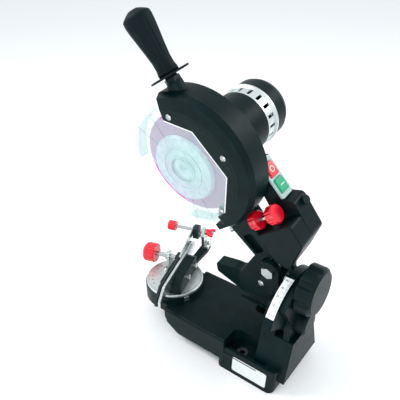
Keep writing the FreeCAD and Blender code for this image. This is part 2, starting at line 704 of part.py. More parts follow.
def in_handle(shape):
    """From the handle's own frame, +Z along the grip, to the head frame."""
    turn = math.radians(HANDLE_ANGLE)
    axis = V(0, -math.cos(turn), math.sin(turn))
    out = DRUM_R - HANDLE_INSET
    place = V(HANDLE_X, out * math.cos(math.radians(HANDLE_AT)), out * math.sin(math.radians(HANDLE_AT)))
    moved = shape.copy()
    moved.Placement = FreeCAD.Placement(place, FreeCAD.Rotation(V(0, 0, 1), axis))
    return moved


def wheel_guard():
    """Cast half drum with a lip round its front opening and bosses for the cover."""
    outer = turned([(0, 0), (DRUM_R - 5, 0), (DRUM_R - 1, 4), (DRUM_R, DRUM_X1 - DRUM_X0 - 8),
                    (DRUM_R - 5, DRUM_X1 - DRUM_X0), (LIP_R + 4, LIP_X - DRUM_X0), (0, LIP_X - DRUM_X0)],
                   (DRUM_X0, 0, 0), (1, 0, 0))
    cavity = turned([(0, DRUM_WALL), (DRUM_R - DRUM_WALL - 5, DRUM_WALL),
                     (DRUM_R - DRUM_WALL - 1, DRUM_X1 - DRUM_X0 - 8),
                     (DRUM_R - DRUM_WALL - 6, DRUM_X1 - DRUM_X0 - 5),
                     (LIP_R + 3, DRUM_X1 - DRUM_X0 - 3), (LIP_R + 3, DRUM_X1 - DRUM_X0 - 2),
                     (LIP_R - 4, DRUM_X1 - DRUM_X0 - 2), (LIP_R - 4, 60), (0, 60)],
                    (DRUM_X0, 0, 0), (1, 0, 0))
    drum = outer.cut(cavity)
    ledge = turned([(LIP_R - 4, DRUM_X1 - DRUM_X0 - 2), (LIP_R + 4, DRUM_X1 - DRUM_X0 - 2),
                    (LIP_R + 4, DRUM_X1 - DRUM_X0 + 3), (LIP_R, DRUM_X1 - DRUM_X0 + 3),
                    (LIP_R, DRUM_X1 - DRUM_X0), (LIP_R - 4, DRUM_X1 - DRUM_X0)],
                   (DRUM_X0, 0, 0), (1, 0, 0))
    drum = drum.fuse(ledge).cut(rod(LIP_R, (DRUM_X1, 0, 0), (LIP_X + 1, 0, 0)))
    keep_half = sector_plate(DRUM_R + 10, DRUM_START, DRUM_END, DRUM_X0 - 1, LIP_X + 1)
    drum = drum.common(keep_half)
    backplate = rod(LIP_R - 6, (DRUM_X0, 0, 0), (DRUM_X0 + DRUM_WALL, 0, 0))
    backplate = backplate.common(block(DRUM_X0, 0, -100, 100, -58, 100))
    tongue = plate_x([(DRUM_R - 3, 2), (DRUM_R - 3, -22), (DRUM_R - 33, -30), (DRUM_R - 63, -30),
                      (DRUM_R - 63, 2)], DRUM_X0, DRUM_X1 - 20, 3)
    tongue = tongue.common(rod(DRUM_R, (DRUM_X0, 0, 0), (LIP_X, 0, 0)))
    seat = plate_x([(DRUM_R - 4, -24), (60, -24), (60, 2), (DRUM_R - 4, 2)], ARM_X1 + 1, DRUM_X1 - 2)
    seat = seat.common(rod(DRUM_R, (DRUM_X0, 0, 0), (LIP_X, 0, 0)))
    seat = seat.cut(rod(DRUM_R - DRUM_WALL - 6, (DRUM_X0, 0, 0), (LIP_X, 0, 0)))
    tongue = tongue.cut(rod(DRUM_R - DRUM_WALL - 6, (DRUM_X0 + DRUM_WALL, 0, 0), (LIP_X, 0, 0)))
    drum = drum.fuse([backplate, tongue, seat])
    boss = in_handle(rod(11, (0, 0, -14), (0, 0, BOSS_TOP)))
    boss = boss.cut(rod(DRUM_R - DRUM_WALL - 2, (DRUM_X0, 0, 0), (LIP_X, 0, 0)))
    lugs = [rod(5.5, (DRUM_X1 - 5, y, z), (DRUM_X1, y, z)) for y, z in cover_screw_places()]
    drum = drum.fuse([boss] + lugs)
    for y, z in cover_screw_places():
        drum = drum.cut(rod(COVER_SCREW_R, (DRUM_X1 - 6, y, z), (DRUM_X1 + 1, y, z)))
    drum = drum.cut(in_handle(rod(STUD_R, (0, 0, BOSS_TOP - 9), (0, 0, BOSS_TOP + 1))))
    drum = drum.cut(rod(BEARING_R + 6, (DRUM_X0 - 1, 0, 0), (DRUM_X0 + DRUM_WALL + 1, 0, 0)))
    return drum.removeSplitter()


keep("wheel_guard", wheel_guard(), on_head)


# Clear cover in front of the wheel

def clear_cover():
    """Clear shell: flat face with a raised boss, rim walls on two lobes and radial ribs."""
    far = COVER_R * 1.5
    front = (far * math.cos(math.radians(LOBE_FRONT)), far * math.sin(math.radians(LOBE_FRONT)))
    rear = (far * math.cos(math.radians(LOBE_REAR)), far * math.sin(math.radians(LOBE_REAR)))
    window = plate_x([WINDOW_FRONT, WINDOW_REAR, rear, (0, -far * 2), front], COVER_X - 30, COVER_X + 10)
    top_x = COVER_X + COVER_T
    face = rod(COVER_R, (COVER_X, 0, 0), (top_x, 0, 0))
    wall = tube(COVER_R, COVER_R - COVER_T, (top_x - COVER_DEPTH, 0, 0), (COVER_X + 1, 0, 0))
    in_guard = sector_plate(COVER_R + 5, DRUM_START - 0.4, DRUM_END + 0.4, COVER_X - 30, COVER_X + 10)
    shell = face.fuse(wall).cut([window, in_guard])
    upper = rod(LIP_R - GAP, (COVER_X, 0, 0), (top_x, 0, 0))
    shell = shell.fuse(upper.common(sector_plate(COVER_R, DRUM_START - 1, DRUM_END + 1, COVER_X, top_x)))
    boss = turned([(0, -0.5), (BOSS_R, -0.5), (BOSS_R, 0), (BOSS_R - 3, BOSS_RISE), (0, BOSS_RISE)],
                  (top_x, 0, 0), (1, 0, 0))
    hollow = turned([(0, -COVER_T - 1), (BOSS_R - COVER_T, -COVER_T - 1), (BOSS_R - COVER_T, 0),
                     (BOSS_R - 3 - COVER_T, BOSS_RISE - COVER_T), (0, BOSS_RISE - COVER_T)],
                    (top_x, 0, 0), (1, 0, 0))
    solid_edge = plate_x([(-far, WINDOW_FRONT[1] + COVER_T), (far, WINDOW_REAR[1] + COVER_T + 3),
                          (0, -far * 2)], COVER_X - 30, COVER_X + 10)
    shell = shell.fuse(boss.cut(window)).cut(hollow.cut(solid_edge))
    details = []
    for radius in (20.0, 31.0):
        details.append(tube(radius, radius - 1.6, (top_x + BOSS_RISE - 0.5, 0, 0),
                            (top_x + BOSS_RISE + 1.2, 0, 0)))
    for turn in COVER_RIBS:
        rib = block(-1, 1.2, BOSS_R - 2, COVER_R - 1, -0.7, 0.7)
        rib.translate(V(top_x, 0, 0))
        rib.rotate(V(0, 0, 0), V(1, 0, 0), turn)
        details.append(rib)
    shell = shell.fuse(details)
    shell = shell.cut(rod(HUB_HOLE_R, (COVER_X - 5, 0, 0), (top_x + BOSS_RISE + 5, 0, 0)))
    for y, z in cover_screw_places():
        shell = shell.cut(rod(COVER_SCREW_R + 0.2, (COVER_X - 2, y, z), (top_x + 2, y, z)))
    return shell.removeSplitter()


keep("clear_cover", clear_cover(), on_head)
head_screws = []
for y, z in cover_screw_places():
    head_screws.append(pan_screw(4.2, 2.8, COVER_SCREW_R, COVER_T + 4.5, (COVER_X + COVER_T, y, z),
                                 (1, 0, 0)))


# Grinding wheel, flanges and nut

def grinding_wheel():
    """Flat disc wheel with a paper blotter's step and its bore."""
    half = WHEEL_T / 2
    return turned([(WHEEL_BORE_R, -half), (WHEEL_R - 0.8, -half), (WHEEL_R, -half + 0.8),
                   (WHEEL_R, half - 0.8), (WHEEL_R - 0.8, half), (WHEEL_BORE_R, half)],
                  (0, 0, 0), (1, 0, 0))


keep("grinding_wheel", grinding_wheel(), on_head)
half_wheel = WHEEL_T / 2
inner_flange = turned([(SPINDLE_R, -FLANGE_T - 3), (SPINDLE_R + 5, -FLANGE_T - 3), (FLANGE_R, -FLANGE_T + 2),
                       (FLANGE_R, 0), (WHEEL_BORE_R - RUN, 0), (WHEEL_BORE_R - RUN, WHEEL_T - 0.4),
                       (SPINDLE_R, WHEEL_T - 0.4)], (-half_wheel, 0, 0), (1, 0, 0))
outer_flange = turned([(SPINDLE_R, 0), (CLAMP_FLANGE_R - 8, 0), (CLAMP_FLANGE_R, 0), (CLAMP_FLANGE_R, 2),
                       (NUT_R + 2, FLANGE_T), (SPINDLE_R, FLANGE_T)], (half_wheel, 0, 0), (1, 0, 0))
keep("wheel_flanges", Part.makeCompound([inner_flange, outer_flange]), on_head)
nut_x = half_wheel + FLANGE_T
nut = hexagon(NUT_R * 2 - 3, (nut_x, 0, 0), (1, 0, 0), NUT_T)
nut = nut.fuse(rod(NUT_R, (nut_x, 0, 0), (nut_x + 1.5, 0, 0)))
keep("spindle_nut", nut.cut(rod(SPINDLE_R, (nut_x - 1, 0, 0), (nut_x + NUT_T + 1, 0, 0))), on_head)


# Motor: bell, slotted ring, end cap, stator, rotor, bearings and fan

def motor_bell():
    """Die-cast bell with a spigot into the guard, a front bearing seat and shallow fins."""
    length = DRUM_X0 - BELL_END
    bell = turned([(0, 0), (MOTOR_R + 2, 0), (MOTOR_R + 2, 6), (MOTOR_R, 9), (MOTOR_R, length),
                   (MOTOR_R - MOTOR_WALL, length), (MOTOR_R - MOTOR_WALL, 7), (BEARING_R + 4, 7),
                   (BEARING_R + 4, 7 + BEARING_W), (BEARING_R, 7 + BEARING_W), (BEARING_R, 5),
                   (SPINDLE_R + 1, 5), (SPINDLE_R + 1, -DRUM_WALL), (BEARING_R + 6, -DRUM_WALL),
                   (BEARING_R + 6, 0)][1:], (DRUM_X0, 0, 0), (-1, 0, 0))
    gland_boss = rod(GLAND_R + 3, (GLAND_X, 0, 0), V(GLAND_X, 0, 0) + GLAND_DIR * GLAND_OUT)
    gland_boss = gland_boss.cut(rod(MOTOR_R - MOTOR_WALL, (0, 0, 0), (BELL_END, 0, 0)))
    bell = bell.fuse(gland_boss)
    seat = V(GLAND_X, 0, 0) + GLAND_DIR * (GLAND_OUT - 3)
    mouth = V(GLAND_X, 0, 0) + GLAND_DIR * (GLAND_OUT + 5)
    return bell.cut([rod(GLAND_R, seat, mouth), rod(LEAD_R, (GLAND_X, 0, 0), mouth)])


keep("motor_bell", motor_bell(), on_head)


def cap_screw_holes():
    """Bores of the three long cap screws."""
    holes = []
    for i in range(3):
        hole = rod(CAP_SCREW_R, (CAP_END - 1, CAP_SCREW_RING, 0), (CAP_END + CAP_SCREW_L, CAP_SCREW_RING, 0))
        hole.rotate(V(0, 0, 0), V(1, 0, 0), 120 * i + 30)
        holes.append(hole)
    return holes


def vent_ring():
    """Bright ring with long slots round it, between the bell and the end cap."""
    length = BELL_END - RING_END
    ring = turned([(MOTOR_R - 4, 0), (MOTOR_R - 1, 0), (MOTOR_R - 1, length - 6), (MOTOR_R + 2, length - 3),
                   (MOTOR_R + 2, length), (MOTOR_R - 4, length)], (BELL_END, 0, 0), (-1, 0, 0))
    web = turned([(BEARING_R, length - 6 - BEARING_W), (BEARING_R + 4, length - 6 - BEARING_W),
                  (BEARING_R + 4, length - 6), (BEARING_R, length - 6)], (BELL_END, 0, 0), (-1, 0, 0))
    spokes = []
    for i in range(3):
        spoke = block(RING_END + 6, RING_END + 11, BEARING_R + 3, MOTOR_R - 3, -4, 4)
        spoke.rotate(V(0, 0, 0), V(1, 0, 0), 120 * i + 30)
        spokes.append(spoke)
    ring = ring.fuse([web] + spokes)
    slots = []
    for i in range(VENT_COUNT):
        slot = block(RING_END + 6, BELL_END - 5, MOTOR_R - 5, MOTOR_R + 4, -VENT_W / 2, VENT_W / 2)
        slot.rotate(V(0, 0, 0), V(1, 0, 0), 360 * (i + 0.5) / VENT_COUNT)
        slots.append(slot)
    return ring.cut(slots + cap_screw_holes())


keep("motor_vent_ring", vent_ring(), on_head)


def end_cap():
    """Domed plastic cap with a ring of slots in its face."""
    length = RING_END - CAP_END
    cap = turned([(0, length), (MOTOR_R - 10, length), (MOTOR_R - 3, length - 3), (MOTOR_R, length - 10),
                  (MOTOR_R, 0), (MOTOR_R - 3, 0), (MOTOR_R - 3, length - 10), (MOTOR_R - 6, length - 5),
                  (MOTOR_R - 14, length - 3), (0, length - 3)], (RING_END, 0, 0), (-1, 0, 0))
    slots = []
    for i in range(CAP_SLOTS):
        slot = block(CAP_END - 2, CAP_END + 6, 12, 29, -1.6, 1.6)
        slot.rotate(V(0, 0, 0), V(1, 0, 0), 360 * (i + 0.5) / CAP_SLOTS)
        slots.append(slot)
    return cap.cut(slots + cap_screw_holes())


keep("motor_end_cap", end_cap(), on_head)
for i in range(3):
    turn = math.radians(120 * i + 30)
    y = CAP_SCREW_RING * math.cos(turn)
    z = CAP_SCREW_RING * math.sin(turn)
    head_screws.append(pan_screw(3.6, 2.4, CAP_SCREW_R, CAP_SCREW_L, (CAP_END, y, z), (-1, 0, 0)))

stator_x0 = BELL_END + 14
core = tube(MOTOR_R - MOTOR_WALL, ROTOR_R + 0.6, (stator_x0, 0, 0), (stator_x0 + ROTOR_L, 0, 0))
end_turns = tube(STATOR_R, ROTOR_R + 4, (stator_x0 - 9, 0, 0), (stator_x0 + ROTOR_L + 9, 0, 0))
keep("stator", core.fuse(end_turns.cut(rod(ROTOR_R + 2, (stator_x0 - 10, 0, 0), (0, 0, 0)))), on_head)
front_seat = DRUM_X0 - 5
rear_seat = RING_END + 6
shaft = turned([(0, 0), (SPINDLE_R, 0), (SPINDLE_R, nut_x + NUT_T - 1 - CAP_END - 12), (0, nut_x + NUT_T - 1
                - CAP_END - 12)], (CAP_END + 12, 0, 0), (1, 0, 0))
collar = tube(SPINDLE_R + 4, SPINDLE_R - 1, (front_seat - BEARING_W - 3, 0, 0), (front_seat - BEARING_W, 0, 0))
spacer = tube(SPINDLE_R + 2, SPINDLE_R - 1, (DRUM_X0 + DRUM_WALL + 2, 0, 0), (-half_wheel - FLANGE_T - 3, 0, 0))
keep("motor_shaft", shaft.fuse([collar, spacer]), on_head)
rotor = tube(ROTOR_R, SPINDLE_R, (stator_x0, 0, 0), (stator_x0 + ROTOR_L, 0, 0))
keep("rotor", rotor, on_head)
bearings = []
for x0 in (front_seat - BEARING_W, rear_seat):
    bearing = turned([(SPINDLE_R + RUN, 0), (BEARING_R, 0), (BEARING_R, BEARING_W), (SPINDLE_R + RUN, BEARING_W)],
                     (x0, 0, 0), (1, 0, 0))
    groove = tube(BEARING_R - 2, SPINDLE_R + 2, (x0 - 1, 0, 0), (x0 + 1, 0, 0))
    bearings.append(bearing.cut(groove))
keep("spindle_bearings", Part.makeCompound(bearings), on_head)


def cooling_fan():
    """Radial fan behind the rear bearing."""
    x0 = RING_END - 12
    fan = tube(FAN_R, SPINDLE_R, (x0, 0, 0), (x0 + 2, 0, 0))
    fan = fan.fuse(tube(SPINDLE_R + 5, SPINDLE_R, (x0, 0, 0), (x0 + 9, 0, 0)))
    blades = []
    for i in range(9):
        blade = block(x0 + 1, x0 + 9, SPINDLE_R + 4, FAN_R, -0.8, 0.8)
        blade.rotate(V(0, 0, 0), V(1, 0, 0), 40 * i)
        blades.append(blade)
    return fan.fuse(blades)


keep("cooling_fan", cooling_fan(), on_head)


# Handle on the guard's front edge

def on_handle(shape):
    """From the handle's own frame to its final place."""
    return on_head(in_handle(shape))


neck = turned([(0, BOSS_TOP - 9), (STUD_R, BOSS_TOP - 9), (STUD_R, BOSS_TOP), (10.5, BOSS_TOP),
               (8, NECK_L), (STUD_R, NECK_L), (STUD_R, NECK_L + STUD_INSERT), (0, NECK_L + STUD_INSERT)])
neck = neck.fuse(hexagon(19, (0, 0, BOSS_TOP), (0, 0, 1), 7))
keep("handle_stud", neck, on_handle)
keep("handle_flange", turned([(STUD_R, NECK_L), (HANDLE_FLANGE_R - 1, NECK_L), (HANDLE_FLANGE_R, NECK_L + 1),
                              (HANDLE_FLANGE_R - 1, NECK_L + HANDLE_FLANGE_T),
                              (STUD_R, NECK_L + HANDLE_FLANGE_T)]), on_handle)


def handle_grip():
    """Turned grip: shoulder, waist, swell and a rounded end, with ten shallow flutes."""
    z0 = NECK_L + HANDLE_FLANGE_T
    z1 = z0 + HANDLE_L
    shoulder = HANDLE_R - 1
    outer = Part.BSplineCurve()
    outer.interpolate([V(shoulder, 0, z0 + GRIP_SHOULDER), V(HANDLE_R - 2.4, 0, z0 + GRIP_WAIST),
                       V(HANDLE_R - 1.6, 0, z0 + GRIP_WAIST + 12), V(HANDLE_R, 0, z0 + GRIP_SWELL),
                       V(HANDLE_R - 0.8, 0, z1 - 9), V(HANDLE_R - 3, 0, z1 - 3), V(HANDLE_R - 8, 0, z1)])
    start = V(STUD_R, 0, z0)
    points = [V(HANDLE_R - 8, 0, z1), V(0, 0, z1), V(0, 0, NECK_L + STUD_INSERT),
              V(STUD_R, 0, NECK_L + STUD_INSERT), start, V(shoulder, 0, z0),
              V(shoulder, 0, z0 + GRIP_SHOULDER)]
    edges = [outer.toShape()]
    for first, last in zip(points, points[1:]):
        edges.append(Part.LineSegment(first, last).toShape())
    grip = Part.Face(Part.Wire(Part.__sortEdges__(edges))).revolve(V(0, 0, 0), V(0, 0, 1), 360)
    flutes = []
    for i in range(GRIP_FLUTES):
        turn = 2 * math.pi * i / GRIP_FLUTES
        x = (HANDLE_R + 1.2) * math.cos(turn)
        y = (HANDLE_R + 1.2) * math.sin(turn)
        flutes.append(rod(2.2, (x, y, z0 + 12), (x, y, z1 - 14)))
    return grip.cut(flutes)


keep("handle_grip", handle_grip(), on_handle)


# Electrics: case on the arm, its lid, switch plate, two buttons, contact block and capacitor

CASE_SLOPE = [(CASE_BACK - 28, PANEL_Z + 10, 9), (CASE_BACK, 29, 8)]
CASE_TALL = [(CASE_FRONT, 50, 5), (CASE_FRONT, PANEL_Z, 2), (CASE_STEP, PANEL_Z, 1),
             (CASE_STEP + 7, PANEL_Z + 16, 7), *CASE_SLOPE, (CASE_BACK - 18, ARM_TOP, 2),
             (CASE_REST, ARM_TOP, 2), (CASE_REST - 19, 40, 8)]
CASE_NEAR = [(CASE_REST, 62, 3), (CASE_REST, PANEL_Z + 13, 6), *CASE_SLOPE, (CASE_BACK - 18, ARM_TOP, 4),
             (CASE_REST, ARM_TOP, 4)]


def inset(points, wall, x0, x1):
    """The same outline drawn in by a wall, as a solid."""
    face = Part.Face(rounded_wire(points, 0))
    small = face.makeOffset2D(-wall, join=2)
    matrix = FreeCAD.Matrix(0, 0, 1, x0, 1, 0, 0, 0, 0, 1, 0, 0, 0, 0, 0, 1)
    return small.transformGeometry(matrix).extrude(V(x1 - x0, 0, 0))


def electrics_case():
    """Moulded case, open at its far side under the lid."""
    tall = plate_x(CASE_TALL, CASE_X0, DRUM_X0 - GAP)
    near = plate_x(CASE_NEAR, DRUM_X0 - 3, CASE_X1)
    near = fillet_where(near, 2.5, lambda p: abs(p.x - CASE_X1) < 0.1)
    case = tall.fuse(near)
    tall_room = inset(CASE_TALL, CASE_WALL, CASE_X0 - 1, DRUM_X0 - GAP - CASE_WALL)
    near_room = inset(CASE_NEAR, CASE_WALL + 1, DRUM_X0 - 6, CASE_X1 - CASE_WALL - 2)
    case = case.cut([tall_room, near_room])
    mid_y = (CASE_FRONT + CASE_STEP) / 2
    x = SWITCH_X
    hole = block(x - BUTTON_W / 2 - 1, x + BUTTON_W / 2 + 1, mid_y - BUTTON_PITCH / 2 - BUTTON_L / 2 - 1,
                 mid_y + BUTTON_PITCH / 2 + BUTTON_L / 2 + 1, PANEL_Z - 10, PANEL_Z + 1)
    case = case.cut(hole)
    for y, z in lid_screw_places():
        post = rod(4, (CASE_X0, y, z), (DRUM_X0 - GAP - 1, y, z))
        case = case.fuse(post).cut(rod(1.6, (CASE_X0 - 1, y, z), (CASE_X0 + 10, y, z)))
    bump = rod(6.5, (CASE_X0 + 8, CASE_STEP + 16, PANEL_Z + 8), (CASE_X0 + 8, CASE_STEP + 16, PANEL_Z + 21))
    case = case.fuse(bump)
    inlet = rod(LEAD_R, (INLET_X, CASE_FRONT - 1, INLET_Z), (INLET_X, CASE_FRONT + 5, INLET_Z))
    return case.cut(inlet).removeSplitter()


def lid_screw_places():
    """Places of the four lid screws on the case's side."""
    return ((CASE_FRONT + 7, 56), (CASE_STEP + 14, PANEL_Z + 3), (CASE_BACK - 34, PANEL_Z + 6),
            (CASE_BACK - 26, ARM_TOP + 5.5))


keep("electrics_case", electrics_case(), on_head)
lid = plate_x(CASE_TALL, CASE_X0 - LID_T, CASE_X0)
for y, z in lid_screw_places():
    lid = lid.cut(rod(1.8, (CASE_X0 - 9, y, z), (CASE_X0 + 1, y, z)))
keep("case_lid", lid, on_head)
for y, z in lid_screw_places():
    head_screws.append(pan_screw(3.2, 2.2, 1.6, 9, (CASE_X0 - LID_T, y, z), (-1, 0, 0)))
keep("head_screws", Part.makeCompound(head_screws), on_head)

switch_y = (CASE_FRONT + CASE_STEP) / 2
plate = plate_z([(SWITCH_X - PLATE_W / 2, switch_y - PLATE_L / 2), (SWITCH_X + PLATE_W / 2, switch_y - PLATE_L / 2),
                 (SWITCH_X + PLATE_W / 2, switch_y + PLATE_L / 2), (SWITCH_X - PLATE_W / 2, switch_y + PLATE_L / 2)],
                PANEL_Z, PANEL_Z + PLATE_T, 3)
for side in (-1, 1):
    y = switch_y + side * BUTTON_PITCH / 2
    plate = plate.cut(block(SWITCH_X - BUTTON_W / 2 - GAP, SWITCH_X + BUTTON_W / 2 + GAP,
                            y - BUTTON_L / 2 - GAP, y + BUTTON_L / 2 + GAP, PANEL_Z - 1, PANEL_Z + PLATE_T + 1))
keep("switch_plate", plate, on_head)
for name, side in (("stop_button", -1), ("start_button", 1)):
    y = switch_y + side * BUTTON_PITCH / 2
    top = plate_z([(SWITCH_X - BUTTON_W / 2, y - BUTTON_L / 2), (SWITCH_X + BUTTON_W / 2, y - BUTTON_L / 2),
                   (SWITCH_X + BUTTON_W / 2, y + BUTTON_L / 2), (SWITCH_X - BUTTON_W / 2, y + BUTTON_L / 2)],
                  PANEL_Z - 3, PANEL_Z + PLATE_T + 3, 1.5)
    top = fillet_where(top, 0.8, lambda p: p.z > PANEL_Z + PLATE_T + 2.9)
    stem = rod(3, (SWITCH_X, y, PANEL_Z - 6.0), (SWITCH_X, y, PANEL_Z - 3))
    keep(name, top.fuse(stem), on_head)
contact = block(SWITCH_X - BUTTON_W / 2, SWITCH_X + BUTTON_W / 2, CASE_FRONT + 14, CASE_STEP - 1,
                40, PANEL_Z - 6 - BUTTON_TRAVEL - GAP)
contact = contact.common(inset(CASE_TALL, CASE_WALL, CASE_X0, DRUM_X0 - GAP - CASE_WALL))
for side in (-1, 1):
    y = switch_y + side * BUTTON_PITCH / 2
    contact = contact.cut(rod(3.4, (SWITCH_X, y, 50), (SWITCH_X, y, 80)))
keep("contact_block", contact, on_head)
keep("run_capacitor", turned([(0, 0), (14, 0), (15, 1), (15, CAPACITOR_L - 1), (14, CAPACITOR_L), (0, CAPACITOR_L)],
                             (CASE_X0 + CAPACITOR_L + GAP, CASE_BACK - 40, 46), (-1, 0, 0)), on_head)
gland = turned([(0, -3), (GLAND_R, -3), (GLAND_R, 0), (GLAND_R + 2.5, 0), (GLAND_R + 2.5, 4), (GLAND_R - 1, 8),
                (0, 8)])
gland = gland.cut(rod(LEAD_R, (0, 0, -4), (0, 0, 9)))
gland_at = V(GLAND_X, 0, 0) + GLAND_DIR * GLAND_OUT
keep("motor_gland", placed(gland, tuple(gland_at), tuple(GLAND_DIR)), on_head)


def motor_lead():
    """Short flexible lead from the bell's gland to the case."""
    start = gland_at - GLAND_DIR * 4
    bend = gland_at + GLAND_DIR * 9
    before = V(INLET_X, CASE_FRONT - 2, INLET_Z)
    finish = V(INLET_X, CASE_FRONT + 4.5, INLET_Z)
    curve = Part.BSplineCurve()
    curve.interpolate(Points=[bend, before], InitialTangent=GLAND_DIR * 20, FinalTangent=V(0, 20, 0))
    path = Part.Wire([Part.LineSegment(start, bend).toShape(), curve.toShape(),
                      Part.LineSegment(before, finish).toShape()])
    normal = FreeCAD.Placement(start, FreeCAD.Rotation(V(0, 0, 1), GLAND_DIR))
    ring = Part.makeCircle(LEAD_R - RUN)
    ring.Placement = normal
    return path.makePipeShell([Part.Wire(ring)], True, False)


keep("motor_lead", motor_lead(), on_head)


# Chain vise on its graduated disc

foot_hole = rod(2.5, (SCREW_ALONG + 19, CLAMP_Y + 5, -DISC_T - 1), (SCREW_ALONG + 19, CLAMP_Y + 5, 5))
disc = turned([(SWIVEL_BOLT_R, -DISC_T), (DISC_R, -DISC_T), (DISC_R, -0.8), (DISC_R - 0.8, 0), (SWIVEL_BOLT_R, 0)])
keep("vise_disc", disc.cut(foot_hole), on_vise)
bolt_low = -(DISC_TOP - TRAY_TOP + 16) - 24
keep("vise_bolt", rod(SWIVEL_BOLT_R, (0, 0, bolt_low), (0, 0, 4)), on_vise)
vise_lock = lobed_knob(16, 16, 8, SWIVEL_BOLT_R + RUN, 3)
keep("vise_lock_knob", placed(vise_lock, (0, 0, bolt_low + 24 - GAP), (0, 0, -1)), on_vise)
rear_face = JAW_FACE + CHAIN_SLOT


def vise_body():
    """Cast body: floor under the jaws, wall behind them and an arm to the chain stop."""
    floor = plate_z([(-44, -8), (-30, -14), (30, -14), (40, -4), (40, BODY_BACK), (-44, BODY_BACK)], 0,
                    RAIL_BOTTOM - GAP, 5)
    floor = floor.common(rod(DISC_R - 0.5, (0, 0, -1), (0, 0, 20)))
    wall = plate_y([(-44, RAIL_BOTTOM - 3), (-44, 18, 6), (-30, 26, 8), (26, 26, 8), (40, 15, 6),
                    (40, RAIL_BOTTOM - 3)], rear_face + RAIL_T, BODY_BACK)
    reach = plate_z([(-30, BODY_BACK - 12), (-30, BODY_BACK), (STOP_ALONG + 9, BODY_BACK + 8, 6),
                     (STOP_ALONG - 9, BODY_BACK + 8, 3), (STOP_ALONG - 9, BODY_BACK - 6, 3),
                     (STOP_ALONG + 9, BODY_BACK - 8, 6)], RAIL_BOTTOM, 16)
    body = floor.fuse([wall.common(rod(DISC_R + 2, (0, 0, -1), (0, 0, 40))), reach])
    body = body.cut(rod(SWIVEL_BOLT_R, (0, 0, -1), (0, 0, 5)))
    for x in GUIDE_PLACES:
        body = body.cut(rod(GUIDE_R, (x, JAW_FACE - 2, RAIL_MID), (x, BODY_BACK - 4, RAIL_MID)))
    for x in BODY_BOLTS:
        body = body.cut(rod(2.5, (x, BODY_BACK - 8, 14), (x, BODY_BACK, 14)))
    for side in (-1, 1):
        body = body.cut(rod(1.8, (STOP_ALONG + side * 5, BODY_BACK + 4.5, 12), (STOP_ALONG + side * 5, BODY_BACK + 4.5, 17)))
    return body.removeSplitter()


keep("vise_body", vise_body(), on_vise)
vise_screws = []
for x in BODY_BOLTS:
    head = hexagon(8, (x, BODY_BACK, 14), (0, 1, 0), 4)
    vise_screws.append(head.fuse(rod(2.5, (x, BODY_BACK - 8, 14), (x, BODY_BACK, 14))))


def jaw(y0, y1, holes):
    """Long jaw plate with a turned-down near end and a chamfered far end."""
    plate = plate_y([(RAIL_FRONT, RAIL_BOTTOM + 6, 2), (RAIL_FRONT, RAIL_TOP - 4, 3), (RAIL_FRONT + 14, RAIL_TOP, 4),
                     (RAIL_BACK - 20, RAIL_TOP, 8), (RAIL_BACK, RAIL_TOP - 16, 5), (RAIL_BACK, FINGER_Z, 2),
                     (RAIL_BACK - 8, FINGER_Z, 2), (RAIL_BACK - 12, RAIL_BOTTOM + 4, 6), (40, RAIL_BOTTOM, 6),
                     (-44, RAIL_BOTTOM, 6)], y0, y1)
    for x in GUIDE_PLACES:
        plate = plate.cut(rod(holes, (x, y0 - 1, RAIL_MID), (x, y1 + 1, RAIL_MID)))
    return plate


keep("rear_jaw", jaw(rear_face, rear_face + RAIL_T, GUIDE_R), on_vise)
keep("front_jaw", jaw(JAW_FACE - RAIL_T, JAW_FACE, GUIDE_R + RUN), on_vise)
guides = []
for x in GUIDE_PLACES:
    guides.append(rod(GUIDE_R, (x, JAW_FACE - RAIL_T - JAW_OPEN - 2, RAIL_MID), (x, BODY_BACK - 4, RAIL_MID)))


def clamp_bracket():
    """Bright angle bracket in front of the jaws that carries the clamp screw."""
    upright = plate_y([(SCREW_ALONG - 10, 0), (SCREW_ALONG - 10, SCREW_HEIGHT + 3, 6),
                       (SCREW_ALONG - 5, SCREW_HEIGHT + 9, 4), (SCREW_ALONG + 6, SCREW_HEIGHT + 9, 5),
                       (SCREW_ALONG + 10, 0)], CLAMP_Y, CLAMP_Y + 4)
    foot = plate_z([(SCREW_ALONG - 8, CLAMP_Y), (SCREW_ALONG + 24, CLAMP_Y), (SCREW_ALONG + 24, CLAMP_Y + 10),
                    (SCREW_ALONG - 8, CLAMP_Y + 10)], 0, 3.5, 2)
    bracket = upright.fuse(foot)
    bracket = bracket.cut(rod(SCREW_R + RUN, (SCREW_ALONG, CLAMP_Y - 1, SCREW_HEIGHT),
                              (SCREW_ALONG, CLAMP_Y + 5, SCREW_HEIGHT)))
    return bracket.cut(rod(2.5, (SCREW_ALONG + 19, CLAMP_Y + 5, -1), (SCREW_ALONG + 19, CLAMP_Y + 5, 5)))


keep("clamp_bracket", clamp_bracket(), on_vise)
vise_screws.append(pan_screw(5, 3.4, 2.5, 7.4, (SCREW_ALONG + 19, CLAMP_Y + 5, 3.5), (0, 0, 1)))

